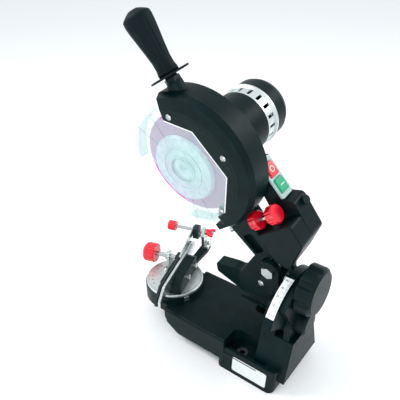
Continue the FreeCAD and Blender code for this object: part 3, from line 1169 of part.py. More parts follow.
shoe_y = JAW_FACE - RAIL_T - 8
clamp_screw = rod(SCREW_R, (SCREW_ALONG, CLAMP_KNOB_Y + 4, SCREW_HEIGHT), (SCREW_ALONG, shoe_y + 3, SCREW_HEIGHT))
collar = tube(SCREW_R + 3, SCREW_R - 0.5, (SCREW_ALONG, CLAMP_Y - 3, SCREW_HEIGHT),
              (SCREW_ALONG, CLAMP_Y - GAP, SCREW_HEIGHT))
keep("clamp_screw", clamp_screw.fuse(collar), on_vise)
clamp_knob = lobed_knob(CLAMP_KNOB_R, CLAMP_KNOB_T, 6, 0, 4)
clamp_knob = clamp_knob.cut(rod(SCREW_R, (0, 0, -1), (0, 0, CLAMP_KNOB_T - 4)))
keep("clamp_knob", placed(clamp_knob, (SCREW_ALONG, CLAMP_KNOB_Y + CLAMP_KNOB_T, SCREW_HEIGHT), (0, -1, 0)), on_vise)
shoe = plate_y([(SCREW_ALONG - 9, RAIL_BOTTOM + 1), (SCREW_ALONG - 9, SCREW_HEIGHT + 7, 3),
                (SCREW_ALONG + 9, SCREW_HEIGHT + 7, 3), (SCREW_ALONG + 9, RAIL_BOTTOM + 1)],
               shoe_y, JAW_FACE - RAIL_T, 1)
shoe = shoe.cut(rod(SCREW_R + RUN, (SCREW_ALONG, shoe_y - 1, SCREW_HEIGHT),
                    (SCREW_ALONG, shoe_y + JAW_OPEN + 3.4, SCREW_HEIGHT)))
keep("clamp_shoe", shoe, on_vise)


# Chain stop at the far end of the jaws

def stop_bracket():
    """Upright plate on the body's arm, with a bent foot and three holes."""
    y0 = BODY_BACK - 4
    plate = plate_y([(STOP_ALONG - 9, 16), (STOP_ALONG - 9, BARREL_UP - 6, 3), (STOP_ALONG - 4, BARREL_UP + 8, 5),
                     (STOP_ALONG + 4, BARREL_UP + 8, 5), (STOP_ALONG + 9, BARREL_UP - 6, 3),
                     (STOP_ALONG + 9, 16)], y0, y0 + 5)
    foot = block(STOP_ALONG - 9, STOP_ALONG + 9, y0, y0 + 12, 16, 20)
    plate = plate.fuse(foot)
    plate = plate.cut(rod(SHAFT_R + RUN, (STOP_ALONG, y0 - 1, BARREL_UP), (STOP_ALONG, y0 + 6, BARREL_UP)))
    for z in (26, 34):
        plate = plate.cut(rod(1.8, (STOP_ALONG - 3, y0 - 1, z), (STOP_ALONG - 3, y0 + 6, z)))
    for side in (-1, 1):
        plate = plate.cut(rod(1.8, (STOP_ALONG + side * 5, y0 + 8.5, 15), (STOP_ALONG + side * 5, y0 + 8.5, 21)))
    return plate.cut(rod(GUIDE_PIN_R, (STOP_ALONG + 2, y0 - 1, BARREL_UP - 11), (STOP_ALONG + 2, y0 + 6, BARREL_UP - 11)))


stop_plate_y = BODY_BACK - 4
keep("stop_bracket", stop_bracket(), on_vise)
for side in (-1, 1):
    vise_screws.append(pan_screw(3.4, 2.4, 1.8, 7.5, (STOP_ALONG + side * 5, stop_plate_y + 8.5, 20), (0, 0, 1)))
keep("vise_screws", Part.makeCompound(vise_screws), on_vise)
guide_z = BARREL_UP - 11
guides.append(rod(GUIDE_PIN_R, (STOP_ALONG + 2, CARRIER_Y + 4.3, guide_z),
                  (STOP_ALONG + 2, stop_plate_y + 5, guide_z)))
keep("guide_pins", Part.makeCompound(guides), on_vise)
carrier = plate_y([(STOP_ALONG - 8, BARREL_UP - 15), (STOP_ALONG - 8, BARREL_UP + 8),
                   (STOP_ALONG + 8, BARREL_UP + 8), (STOP_ALONG + 8, BARREL_UP - 15)],
                  CARRIER_Y, CARRIER_Y + CARRIER_L, 3)
carrier = carrier.cut([rod(SHAFT_R + RUN, (STOP_ALONG, 0, BARREL_UP), (STOP_ALONG, 40, BARREL_UP)),
                       rod(GUIDE_PIN_R + RUN, (STOP_ALONG + 2, 0, guide_z), (STOP_ALONG + 2, 40, guide_z))])
keep("stop_carrier", carrier, on_vise)
stop_screw = rod(SHAFT_R, (STOP_ALONG, STOP_KNOB_Y, BARREL_UP), (STOP_ALONG, stop_plate_y + 20, BARREL_UP))
for y in (stop_plate_y - 2 - GAP, stop_plate_y + 5 + GAP):
    stop_screw = stop_screw.fuse(rod(SHAFT_R + 2.5, (STOP_ALONG, y, BARREL_UP), (STOP_ALONG, y + 2, BARREL_UP)))
keep("stop_screw", stop_screw, on_vise)
red_knob = turned([(0, 3), (0, 14), (8, 14), (9, 13), (9, 1), (8, 0), (SHAFT_R, 0), (SHAFT_R, 3)])
keep("stop_adjust_knob", placed(red_knob, (STOP_ALONG, STOP_KNOB_Y + 3, BARREL_UP), (0, -1, 0)), on_vise)


def wing_nut():
    """Wing nut: hub with two rounded wings."""
    hub = turned([(0, 0), (6, 0), (5, 9), (0, 9)])
    wing = plate_y([(2, 1), (9, 4, 2), (12, 12, 3), (8, 14, 2), (3, 8, 1)], -1.7, 1.7)
    nut_shape = hub.fuse([wing, wing.mirror(V(0, 0, 0), V(1, 0, 0))])
    return nut_shape.cut(rod(SHAFT_R + RUN, (0, 0, -1), (0, 0, 20)))


keep("stop_wing_nut", placed(wing_nut(), (STOP_ALONG, stop_plate_y + 7 + 2 * GAP, BARREL_UP), (0, 1, 0)), on_vise)


def stop_pawl():
    """Flat finger that swings on the stop's screw and reaches over the slot between the jaws."""
    y0 = RAIL_OFFSET - PAWL_T / 2
    y1 = RAIL_OFFSET + PAWL_T / 2
    finger = plate_y([(STOP_ALONG + 2, BARREL_UP - 7), (STOP_ALONG + 4, BARREL_UP + 5, 4), (-24, RAIL_TOP + 8, 6),
                      (-12, RAIL_TOP + 4, 1), (-12, RAIL_TOP + 1, 0.6), (-34, RAIL_TOP + 1, 6)], y0, y1)
    hub = rod(7.5, (STOP_ALONG, y0, BARREL_UP), (STOP_ALONG, y1, BARREL_UP))
    return finger.fuse(hub).cut(rod(SHAFT_R + RUN, (STOP_ALONG, y0 - 1, BARREL_UP), (STOP_ALONG, y1 + 1, BARREL_UP)))


keep("stop_pawl", stop_pawl(), on_vise)

for name, shape in NODES.items():
    if not shape.isValid():
        print("invalid:", name)
    Part.Shape(shape).exportStep("parts/%s.step" % name)
    print("%-24s solids %d volume %.0f" % (name, len(shape.Solids), shape.Volume))
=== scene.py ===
"""Looks of a bench-top saw-chain grinder: finishes, cover, grip, printed marks, threads, bare label and light."""
import json
import logging
import math
from dataclasses import dataclass, field
from enum import Enum
from typing import Callable

import bmesh
import bpy
from mathutils import Euler, Matrix, Vector

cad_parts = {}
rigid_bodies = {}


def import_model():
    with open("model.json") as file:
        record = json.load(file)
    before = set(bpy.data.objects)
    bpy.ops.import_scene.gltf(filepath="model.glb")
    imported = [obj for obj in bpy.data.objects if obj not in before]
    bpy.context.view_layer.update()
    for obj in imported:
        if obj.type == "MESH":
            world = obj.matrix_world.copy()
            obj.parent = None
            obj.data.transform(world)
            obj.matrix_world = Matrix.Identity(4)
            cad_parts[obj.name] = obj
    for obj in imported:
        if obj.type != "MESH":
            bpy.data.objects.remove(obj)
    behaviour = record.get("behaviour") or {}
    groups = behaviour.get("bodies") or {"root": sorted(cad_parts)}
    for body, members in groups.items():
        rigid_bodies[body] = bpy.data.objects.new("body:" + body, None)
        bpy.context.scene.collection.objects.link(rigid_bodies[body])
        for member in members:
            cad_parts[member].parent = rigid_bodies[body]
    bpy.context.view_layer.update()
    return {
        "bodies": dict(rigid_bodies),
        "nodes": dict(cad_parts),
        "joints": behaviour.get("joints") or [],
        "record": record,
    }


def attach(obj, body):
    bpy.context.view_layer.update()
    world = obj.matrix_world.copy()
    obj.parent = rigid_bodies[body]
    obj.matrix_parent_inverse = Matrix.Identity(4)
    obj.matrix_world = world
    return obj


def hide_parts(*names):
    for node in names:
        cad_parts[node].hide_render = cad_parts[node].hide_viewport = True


LOG = logging.getLogger("chain_grinder")
MM = 0.001

Colour = tuple[float, float, float]


class Sheen(Enum):
    """How glossy a surface is, as Principled roughness."""

    GLOSS = 0.24
    SATIN = 0.38
    MATTE = 0.55
    DRY = 0.8


@dataclass(frozen=True)
class Finish:
    """A surface made of one material with its own grain, mottling and softened edges."""

    name: str
    colour: Colour
    sheen: Sheen = Sheen.SATIN
    metallic: float = 0.0
    coat: float = 0.0
    grain_mm: float = 0.5
    grain_depth: float = 0.15
    mottle: float = 0.12
    mottle_mm: float = 14.0
    edge_mm: float = 0.35
    speck: float = 0.0
    speck_colour: Colour = (1.0, 1.0, 1.0)
    streak: tuple[float, float, float] = (1.0, 1.0, 1.0)
    shine: float = 0.5

    def build(self) -> bpy.types.Material:
        """Make the material.

        Returns:
            The finished node material.
        """
        material = bpy.data.materials.new(self.name)
        material.use_nodes = True
        tree = material.node_tree
        shader = tree.nodes["Principled BSDF"]
        shader.inputs["Metallic"].default_value = self.metallic
        shader.inputs["Coat Weight"].default_value = self.coat
        shader.inputs["Specular IOR Level"].default_value = self.shine
        shader.inputs["Coat Roughness"].default_value = 0.12
        place = self._place(tree)
        tree.links.new(self._colour(tree, place), shader.inputs["Base Color"])
        tree.links.new(self._roughness(tree, place), shader.inputs["Roughness"])
        tree.links.new(self._relief(tree, place), shader.inputs["Normal"])
        self.extend(tree, shader)
        return material

    def extend(self, tree: bpy.types.NodeTree, shader: bpy.types.Node) -> None:
        """Hook for finishes that set more on the shader.

        Args:
            tree: The material's node tree.
            shader: Its Principled shader.
        """

    def _place(self, tree: bpy.types.NodeTree) -> bpy.types.NodeSocket:
        """Object coordinates, stretched along the finish's streaks.

        Args:
            tree: The material's node tree.

        Returns:
            The coordinates' socket.
        """
        coordinates = tree.nodes.new("ShaderNodeTexCoord")
        mapping = tree.nodes.new("ShaderNodeMapping")
        mapping.inputs["Scale"].default_value = self.streak
        tree.links.new(coordinates.outputs["Object"], mapping.inputs["Vector"])
        return mapping.outputs["Vector"]

    def _noise(self, tree: bpy.types.NodeTree, place: bpy.types.NodeSocket, size_mm: float,
               detail: float) -> bpy.types.NodeSocket:
        """Noise with features of a size.

        Args:
            tree: The material's node tree.
            place: The coordinates it reads.
            size_mm: Size of its features.
            detail: Octaves of detail.

        Returns:
            The noise value's socket.
        """
        noise = tree.nodes.new("ShaderNodeTexNoise")
        noise.inputs["Scale"].default_value = 1.0 / (size_mm * MM)
        noise.inputs["Detail"].default_value = detail
        noise.inputs["Roughness"].default_value = 0.6
        tree.links.new(place, noise.inputs["Vector"])
        return noise.outputs["Fac"]

    def _colour(self, tree: bpy.types.NodeTree, place: bpy.types.NodeSocket) -> bpy.types.NodeSocket:
        """Base colour with slow mottling and optional specks.

        Args:
            tree: The material's node tree.
            place: The coordinates it reads.

        Returns:
            The colour's socket.
        """
        ramp = tree.nodes.new("ShaderNodeValToRGB")
        ramp.color_ramp.elements[0].position = 0.3
        ramp.color_ramp.elements[1].position = 0.7
        ramp.color_ramp.elements[0].color = (*[c * (1 - self.mottle) for c in self.colour], 1)
        ramp.color_ramp.elements[1].color = (*[min(1, c * (1 + self.mottle)) for c in self.colour], 1)
        tree.links.new(self._noise(tree, place, self.mottle_mm, 4), ramp.inputs["Fac"])
        if self.speck <= 0:
            return ramp.outputs["Color"]
        spots = tree.nodes.new("ShaderNodeTexVoronoi")
        spots.inputs["Scale"].default_value = 1.0 / (self.grain_mm * 2.5 * MM)
        tree.links.new(place, spots.inputs["Vector"])
        pick = tree.nodes.new("ShaderNodeMapRange")
        pick.inputs["From Min"].default_value = 0.05
        pick.inputs["From Max"].default_value = 0.3
        pick.inputs["To Min"].default_value = self.speck
        pick.inputs["To Max"].default_value = 0.0
        tree.links.new(spots.outputs["Distance"], pick.inputs["Value"])
        mix = tree.nodes.new("ShaderNodeMix")
        mix.data_type = "RGBA"
        mix.inputs["B"].default_value = (*self.speck_colour, 1)
        tree.links.new(pick.outputs["Result"], mix.inputs["Factor"])
        tree.links.new(ramp.outputs["Color"], mix.inputs["A"])
        return mix.outputs["Result"]

    def _roughness(self, tree: bpy.types.NodeTree, place: bpy.types.NodeSocket) -> bpy.types.NodeSocket:
        """Roughness that drifts a little, as handled surfaces do.

        Args:
            tree: The material's node tree.
            place: The coordinates it reads.

        Returns:
            The roughness's socket.
        """
        drift = tree.nodes.new("ShaderNodeMapRange")
        drift.inputs["To Min"].default_value = self.sheen.value * 0.8
        drift.inputs["To Max"].default_value = self.sheen.value * 1.25
        tree.links.new(self._noise(tree, place, self.mottle_mm * 0.6, 3), drift.inputs["Value"])
        return drift.outputs["Result"]

    def _relief(self, tree: bpy.types.NodeTree, place: bpy.types.NodeSocket) -> bpy.types.NodeSocket:
        """Softened edges under the surface's grain.

        Args:
            tree: The material's node tree.
            place: The coordinates it reads.

        Returns:
            The normal's socket.
        """
        soft = tree.nodes.new("ShaderNodeBevel")
        soft.samples = 4
        soft.inputs["Radius"].default_value = self.edge_mm * MM
        bump = tree.nodes.new("ShaderNodeBump")
        bump.inputs["Strength"].default_value = self.grain_depth
        bump.inputs["Distance"].default_value = self.grain_mm * MM
        tree.links.new(self._noise(tree, place, self.grain_mm, 5), bump.inputs["Height"])
        tree.links.new(soft.outputs["Normal"], bump.inputs["Normal"])
        return bump.outputs["Normal"]


@dataclass(frozen=True)
class ClearMoulding(Finish):
    """Translucent moulded plastic with a faint frost."""

    passing: float = 0.75

    def extend(self, tree: bpy.types.NodeTree, shader: bpy.types.Node) -> None:
        """Let light through: most of the surface is see-through, the rest pale and glossy.

        Args:
            tree: The material's node tree.
            shader: Its Principled shader.
        """
        shader.inputs["Alpha"].default_value = 1.0 - self.passing
        shader.inputs["IOR"].default_value = 1.5


class Finishes:
    """Every finish on the grinder, each built once."""

    CAST = Finish("black_cast_paint", (0.001, 0.0095, 0.01), Sheen.SATIN, grain_mm=0.7, grain_depth=0.25,
                  mottle=0.3, mottle_mm=18, edge_mm=0.9, shine=0.12)
    MOULDED = Finish("black_moulding", (0.001, 0.009, 0.01), Sheen.SATIN, grain_mm=0.35, grain_depth=0.22,
                     mottle=0.2, edge_mm=0.7, shine=0.14)
    GRIP = Finish("black_grip_rubber", (0.001, 0.0075, 0.0095), Sheen.MATTE, grain_mm=0.25, grain_depth=0.35,
                  mottle=0.25, edge_mm=0.8, shine=0.12)
    SILVER = Finish("bright_aluminium", (0.66, 0.72, 0.71), Sheen.SATIN, metallic=0.85, grain_mm=0.3,
                    grain_depth=0.12, mottle=0.08, edge_mm=0.5)
    ZINC = Finish("zinc_plate", (0.62, 0.68, 0.67), Sheen.GLOSS, metallic=0.95, grain_mm=0.4, grain_depth=0.08,
                  mottle=0.15, mottle_mm=6, edge_mm=0.4, streak=(1, 1, 6))
    STEEL = Finish("turned_steel", (0.5, 0.53, 0.53), Sheen.GLOSS, metallic=1.0, grain_mm=0.25, grain_depth=0.08,
                   mottle=0.1, edge_mm=0.25)
    OXIDE = Finish("black_oxide_steel", (0.012, 0.022, 0.022), Sheen.SATIN, metallic=0.4, grain_mm=0.3,
                   grain_depth=0.12, mottle=0.25, edge_mm=0.4)
    BRONZE = Finish("bearing_bronze", (0.5, 0.32, 0.12), Sheen.SATIN, metallic=1.0, grain_mm=0.3)
    CORE = Finish("varnished_laminations", (0.2, 0.1, 0.06), Sheen.SATIN, metallic=0.5, grain_mm=0.5,
                  grain_depth=0.4, streak=(8, 1, 1))
    RED = Finish("red_knob_moulding", (0.78, 0.004, 0.02), Sheen.GLOSS, coat=0.3, grain_mm=0.4, grain_depth=0.06,
                 mottle=0.1, edge_mm=0.5)
    GREEN = Finish("green_button_moulding", (0.0, 0.36, 0.17), Sheen.GLOSS, coat=0.3, grain_mm=0.4,
                   grain_depth=0.05, mottle=0.06, edge_mm=0.5)
    GREY = Finish("grey_switch_moulding", (0.42, 0.56, 0.54), Sheen.SATIN, grain_mm=0.4, grain_depth=0.1,
                  mottle=0.06, edge_mm=0.5)
    WHEEL = Finish("pink_abrasive", (0.62, 0.1, 0.42), Sheen.DRY, grain_mm=0.45, grain_depth=0.9, mottle=0.1,
                   mottle_mm=5, edge_mm=0.3, speck=0.3, speck_colour=(0.95, 0.62, 0.85))
    STRIP = Finish("white_scale_strip", (0.82, 0.87, 0.88), Sheen.GLOSS, grain_mm=0.5, grain_depth=0.03,
                   mottle=0.03, edge_mm=0.1)
    INK = Finish("black_ink", (0.01, 0.014, 0.016), Sheen.MATTE, grain_mm=0.2, grain_depth=0.1, edge_mm=0.05)
    WHITE = Finish("white_ink", (0.85, 0.88, 0.88), Sheen.MATTE, grain_mm=0.2, grain_depth=0.1, edge_mm=0.05)
    PLATE = Finish("bare_label_foil", (0.7, 0.75, 0.74), Sheen.SATIN, metallic=0.25, grain_mm=0.4,
                   grain_depth=0.06, mottle=0.05, edge_mm=0.1)
    PAPER = Finish("blotter_paper", (0.86, 0.7, 0.78), Sheen.DRY, grain_mm=0.3, grain_depth=0.3, mottle=0.08,
                   mottle_mm=4, edge_mm=0.1)
    CLEAR = ClearMoulding("clear_moulding", (0.55, 0.76, 0.75), Sheen.GLOSS, grain_mm=2.0, grain_depth=0.03,
                          mottle=0.04, edge_mm=0.8, passing=0.68)
    FROSTED = ClearMoulding("frosted_moulding", (0.62, 0.86, 0.86), Sheen.SATIN, grain_mm=1.2, grain_depth=0.05,
                            mottle=0.12, mottle_mm=9, edge_mm=0.8, passing=0.5)
    # Near-opaque white for the bars along the clear cover's edges: a painted highlight of the cover's rim, not a
    # moulding's own colour.
    EDGE = ClearMoulding("painted_highlight_on_cover_edge", (0.95, 0.98, 0.98), Sheen.GLOSS, grain_mm=1.0, grain_depth=0.03,
                         mottle=0.03, edge_mm=0.4, passing=0.08)

    def __init__(self) -> None:
        """Start with no material built."""
        self._built: dict[str, bpy.types.Material] = {}

    def get(self, finish: Finish) -> bpy.types.Material:
        """The material of a finish, made on first use.

        Args:
            finish: The finish wanted.

        Returns:
            Its material.
        """
        if finish.name not in self._built:
            self._built[finish.name] = finish.build()
        return self._built[finish.name]


@dataclass
class SubAssembly:
    """A group of parts that are dressed together."""

    frame: dict
    finishes: Finishes

    def wear(self, finish: Finish, *nodes: str) -> None:
        """Give CAD nodes a finish.

        Args:
            finish: The finish to wear.
            nodes: Names of the nodes.
        """
        for name in nodes:
            data = self.frame["nodes"][name].data
            data.materials.clear()
            data.materials.append(self.finishes.get(finish))
            LOG.info("dressed %s in %s", name, finish.name)

    def add(self, name: str, mesh: bmesh.types.BMesh, place: Matrix, finish: Finish, body: str, slot: str,
            smooth: bool = False) -> bpy.types.Object:
        """Turn a bmesh into a piece that rides on a body.

        Args:
            name: The piece's name.
            mesh: Its geometry, in its own frame; freed here.
            place: Where that frame lies in the object.
            finish: The piece's finish.
            body: The body it rides on.
            slot: The record's material slot; not used.
            smooth: Whether its faces are shaded smooth.

        Returns:
            The new object.
        """
        bmesh.ops.remove_doubles(mesh, verts=mesh.verts, dist=1e-7)
        bmesh.ops.transform(mesh, matrix=place, verts=mesh.verts)
        bmesh.ops.recalc_face_normals(mesh, faces=mesh.faces)
        for face in mesh.faces:
            face.smooth = smooth
        data = bpy.data.meshes.new(name)
        mesh.to_mesh(data)
        mesh.free()
        data.materials.append(self.finishes.get(finish))
        piece = bpy.data.objects.new(name, data)
        bpy.context.scene.collection.objects.link(piece)
        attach(piece, body)
        LOG.info("made %s", name)
        return piece


@dataclass(frozen=True)
class Datum:
    """The grinder's driving places and angles, in millimetres and degrees."""

    wheel_y: float = -179.5
    tilt_z: float = 106.0
    pin_y: float = 5.0
    pin_up: float = 72.5
    disc_top: float = 68.0
    head_raise: float = 51.0
    head_tilt: float = 8.0
    vise_swivel: float = 17.0

    def bracket(self) -> Matrix:
        """The leaning bracket's frame, its origin on the tilt axis.

        Returns:
            The frame as a matrix, in metres.
        """
        lean = Matrix.Rotation(math.radians(self.head_tilt), 4, "Y")
        return Matrix.Translation(Vector((0, 0, self.tilt_z)) * MM) @ lean

    def head(self) -> Matrix:
        """The raised head's frame, its origin at the wheel's centre.

        Returns:
            The frame as a matrix, in metres.
        """
        swing = Matrix.Rotation(math.radians(-self.head_raise), 4, "X")
        pin = Matrix.Translation(Vector((0, self.pin_y, self.pin_up)) * MM)
        back = Matrix.Translation(Vector((0, self.wheel_y - self.pin_y, 0)) * MM)
        return self.bracket() @ pin @ swing @ back

    def vise(self) -> Matrix:
        """The vise's frame, +X along the jaws and its origin on the disc's top.

        Returns:
            The frame as a matrix, in metres.
        """
        turn = Matrix.Rotation(math.radians(self.vise_swivel), 4, "Z")
        return Matrix.Translation(Vector((0, self.wheel_y, self.disc_top)) * MM) @ turn


DATUM = Datum()


def at(x: float, y: float, z: float) -> Matrix:
    """A shift in millimetres."""
    return Matrix.Translation(Vector((x, y, z)) * MM)


def toward(axis: tuple[float, float, float]) -> Matrix:
    """The turn that takes +Z to an axis.

    Args:
        axis: The direction that +Z ends on.

    Returns:
        The rotation.
    """
    return Vector((0, 0, 1)).rotation_difference(Vector(axis)).to_matrix().to_4x4()


def box_mesh(size: tuple[float, float, float], round_mm: float = 0.0) -> bmesh.types.BMesh:
    """A block about its own centre.

    Args:
        size: Its three sides in millimetres.
        round_mm: Radius of its edges.

    Returns:
        The bmesh.
    """
    mesh = bmesh.new()
    bmesh.ops.create_cube(mesh, size=1.0)
    bmesh.ops.scale(mesh, vec=Vector(size) * MM, verts=mesh.verts)
    if round_mm > 0:
        bmesh.ops.bevel(mesh, geom=list(mesh.edges), offset=round_mm * MM, segments=3, profile=0.5,
                        affect="EDGES", material=-1)
    return mesh


def ring_mesh(profile: list[tuple[float, float]], steps: int = 48) -> bmesh.types.BMesh:
    """A closed profile of (radius, height) turned about +Z.

    Args:
        profile: Corners of the section in millimetres.
        steps: Steps of the full turn.

    Returns:
        The bmesh.
    """
    mesh = bmesh.new()
    verts = [mesh.verts.new(Vector((radius, 0, height)) * MM) for radius, height in profile]
    edges = [mesh.edges.new((verts[i], verts[(i + 1) % len(verts)])) for i in range(len(verts))]
    bmesh.ops.spin(mesh, geom=verts + edges, cent=(0, 0, 0), axis=(0, 0, 1), angle=math.tau, steps=steps,
                   use_merge=True)
    return mesh


def join(mesh: bmesh.types.BMesh, other: bmesh.types.BMesh, place: Matrix) -> None:
    """Add another bmesh at a place, and free it.

    Args:
        mesh: The bmesh that grows.
        other: The bmesh that is added.
        place: Where it goes.
    """
    bmesh.ops.transform(other, matrix=place, verts=other.verts)
    data = bpy.data.meshes.new("joined")
    other.to_mesh(data)
    other.free()
    mesh.from_mesh(data)
    bpy.data.meshes.remove(data)


def thread_mesh(radius: float, depth: float, pitch: float, length: float, steps: int = 14) -> bmesh.types.BMesh:
    """A screw thread's ridge round +Z, from height 0 up.

    Args:
        radius: Crest radius in millimetres.
        depth: Height of the ridge, which starts this far inside.
        pitch: Rise of one turn.
        length: Length of thread.
        steps: Steps per turn.

    Returns:
        The bmesh.
    """
    mesh = bmesh.new()
    section = ((radius - depth, 0.08), (radius, 0.42), (radius, 0.58), (radius - depth, 0.92))
    verts = [mesh.verts.new(Vector((r, 0, part * pitch)) * MM) for r, part in section]
    edges = [mesh.edges.new((verts[i], verts[i + 1])) for i in range(3)]
    edges.append(mesh.edges.new((verts[3], verts[0])))
    turns = length / pitch - 1
    count = round(turns * steps)
    bmesh.ops.spin(mesh, geom=verts + edges, cent=(0, 0, 0), axis=(0, 0, 1), angle=math.tau * count / steps,
                   steps=count, dvec=(0, 0, pitch * MM / steps))
    bmesh.ops.holes_fill(mesh, edges=[edge for edge in mesh.edges if edge.is_boundary])
    return mesh


def text_mesh(text: str, height: float, depth: float) -> bmesh.types.BMesh:
    """Printed characters centred on their own frame, facing +Z.

    Args:
        text: The characters.
        height: Font size in millimetres.
        depth: Thickness of the print.

    Returns:
        The bmesh.
    """
    curve = bpy.data.curves.new("print", "FONT")
    curve.body = text
    curve.size = height * MM
    curve.extrude = depth * MM / 2
    curve.align_x = "CENTER"
    curve.align_y = "CENTER"
    holder = bpy.data.objects.new("print", curve)
    bpy.context.scene.collection.objects.link(holder)
    bpy.context.view_layer.update()
    data = bpy.data.meshes.new_from_object(holder)
    mesh = bmesh.new()
    mesh.from_mesh(data)
    bpy.data.objects.remove(holder)
    bpy.data.curves.remove(curve)
    bpy.data.meshes.remove(data)
    return mesh


@dataclass
class Base(SubAssembly):
    """Foot, tray and column, with the bare label and the swivel pointer."""

    label_length: float = 58.0
    label_height: float = 25.0
    label_y: float = 9.0
    label_z: float = 20.0
    side_x: float = 62.0
    foot_top: float = 41.0
    draft: float = 5.0
    label_corner: float = 2.5
    pointer_angle: float = 62.0
    pointer_radius: float = 49.6
    pointer_drop: float = 5.2

    def build(self) -> None:
        """Dress the castings and add the label and pointer."""
        self.wear(Finishes.CAST, "base_casting")
        self.wear(Finishes.STEEL, "base_washers", "tilt_pin", "tilt_lock_bolt")
        self.wear(Finishes.MOULDED, "tilt_axis_cap", "tilt_lock_knob")
        self._label()
        self._pointer()

    def _label(self) -> None:
        """Bare foil plate on the foot's drafted side."""
        slope = math.atan2(self.draft, self.foot_top)
        x = self.side_x - self.draft * self.label_z / self.foot_top
        place = at(x, self.label_y, self.label_z) @ Euler((0, math.radians(90) - slope, 0)).to_matrix().to_4x4()
        plate = box_mesh((self.label_height, self.label_length, 0.5))
        corners = [edge for edge in plate.edges if abs(edge.verts[0].co.z - edge.verts[1].co.z) > 0.0001]
        bmesh.ops.bevel(plate, geom=corners, offset=self.label_corner * MM, segments=4, profile=0.5,
                         affect="EDGES", material=-1)
        self.add("bare_label_plate", plate, place @ at(0, 0, 0.3), Finishes.PLATE, "base", "silver_casting")

    def _pointer(self) -> None:
        """Bright pointer for the vise's scale, on the nose's side."""
        turn = math.radians(self.pointer_angle)
        radius = self.pointer_radius
        place = at(radius * math.cos(turn), DATUM.wheel_y + radius * math.sin(turn),
                   DATUM.disc_top - self.pointer_drop)
        place = place @ Matrix.Rotation(turn, 4, "Z")
        tab = box_mesh((1.2, 9.0, 9.0), 0.4)
        self.add("swivel_pointer", tab, place @ at(0.5, 0, -3.5), Finishes.ZINC, "base", "zinc_plate")


@dataclass
class TiltBracket(SubAssembly):
    """Leaning sector with its printed scale, pin, spring and stop arm."""

    rim: float = 75.8
    rim_y: float = 38.3
    strip_width: float = 12.0
    degree_step: int = 5
    low: float = 44.0
    highest_degree: int = 40
    print_thick: float = 0.16
    print_lift: float = 0.04
    number_height: float = 4.6

    def build(self) -> None:
        """Dress the bracket and print its scale."""
        self.wear(Finishes.CAST, "tilt_bracket")
        self.wear(Finishes.STRIP, "tilt_scale")
        self.wear(Finishes.STEEL, "arm_pin", "bracket_fasteners", "return_spring")
        self._scale()

    def _scale(self) -> None:
        """Ticks every degree and numbers every ten, read from the zero at the low end."""
        marks = bmesh.new()
        numbers = bmesh.new()
        for degree in range(self.highest_degree + 1):
            long_tick = degree % self.degree_step == 0
            angle = math.radians(self.low - degree)
            radial = Matrix.Rotation(angle, 4, "Y") @ at(0, 0, self.rim)
            length = 4.2 if long_tick else 2.4
            width = 0.4 if long_tick else 0.22
            tick = box_mesh((width, length, self.print_thick))
            edge = self.rim_y + self.strip_width / 2 - 0.8
            join(marks, tick, radial @ at(0, edge - length / 2, self.print_lift))
            if degree % 10 == 0:
                turned = radial @ at(0, self.rim_y - 2.2, self.print_lift) @ Matrix.Rotation(math.radians(90), 4, "Z")
                join(numbers, text_mesh(str(degree), self.number_height, self.print_thick), turned)
        self.add("tilt_scale_ticks", marks, DATUM.bracket(), Finishes.INK, "bracket", "black_plastic")
        self.add("tilt_scale_numbers", numbers, DATUM.bracket(), Finishes.INK, "bracket", "black_plastic")


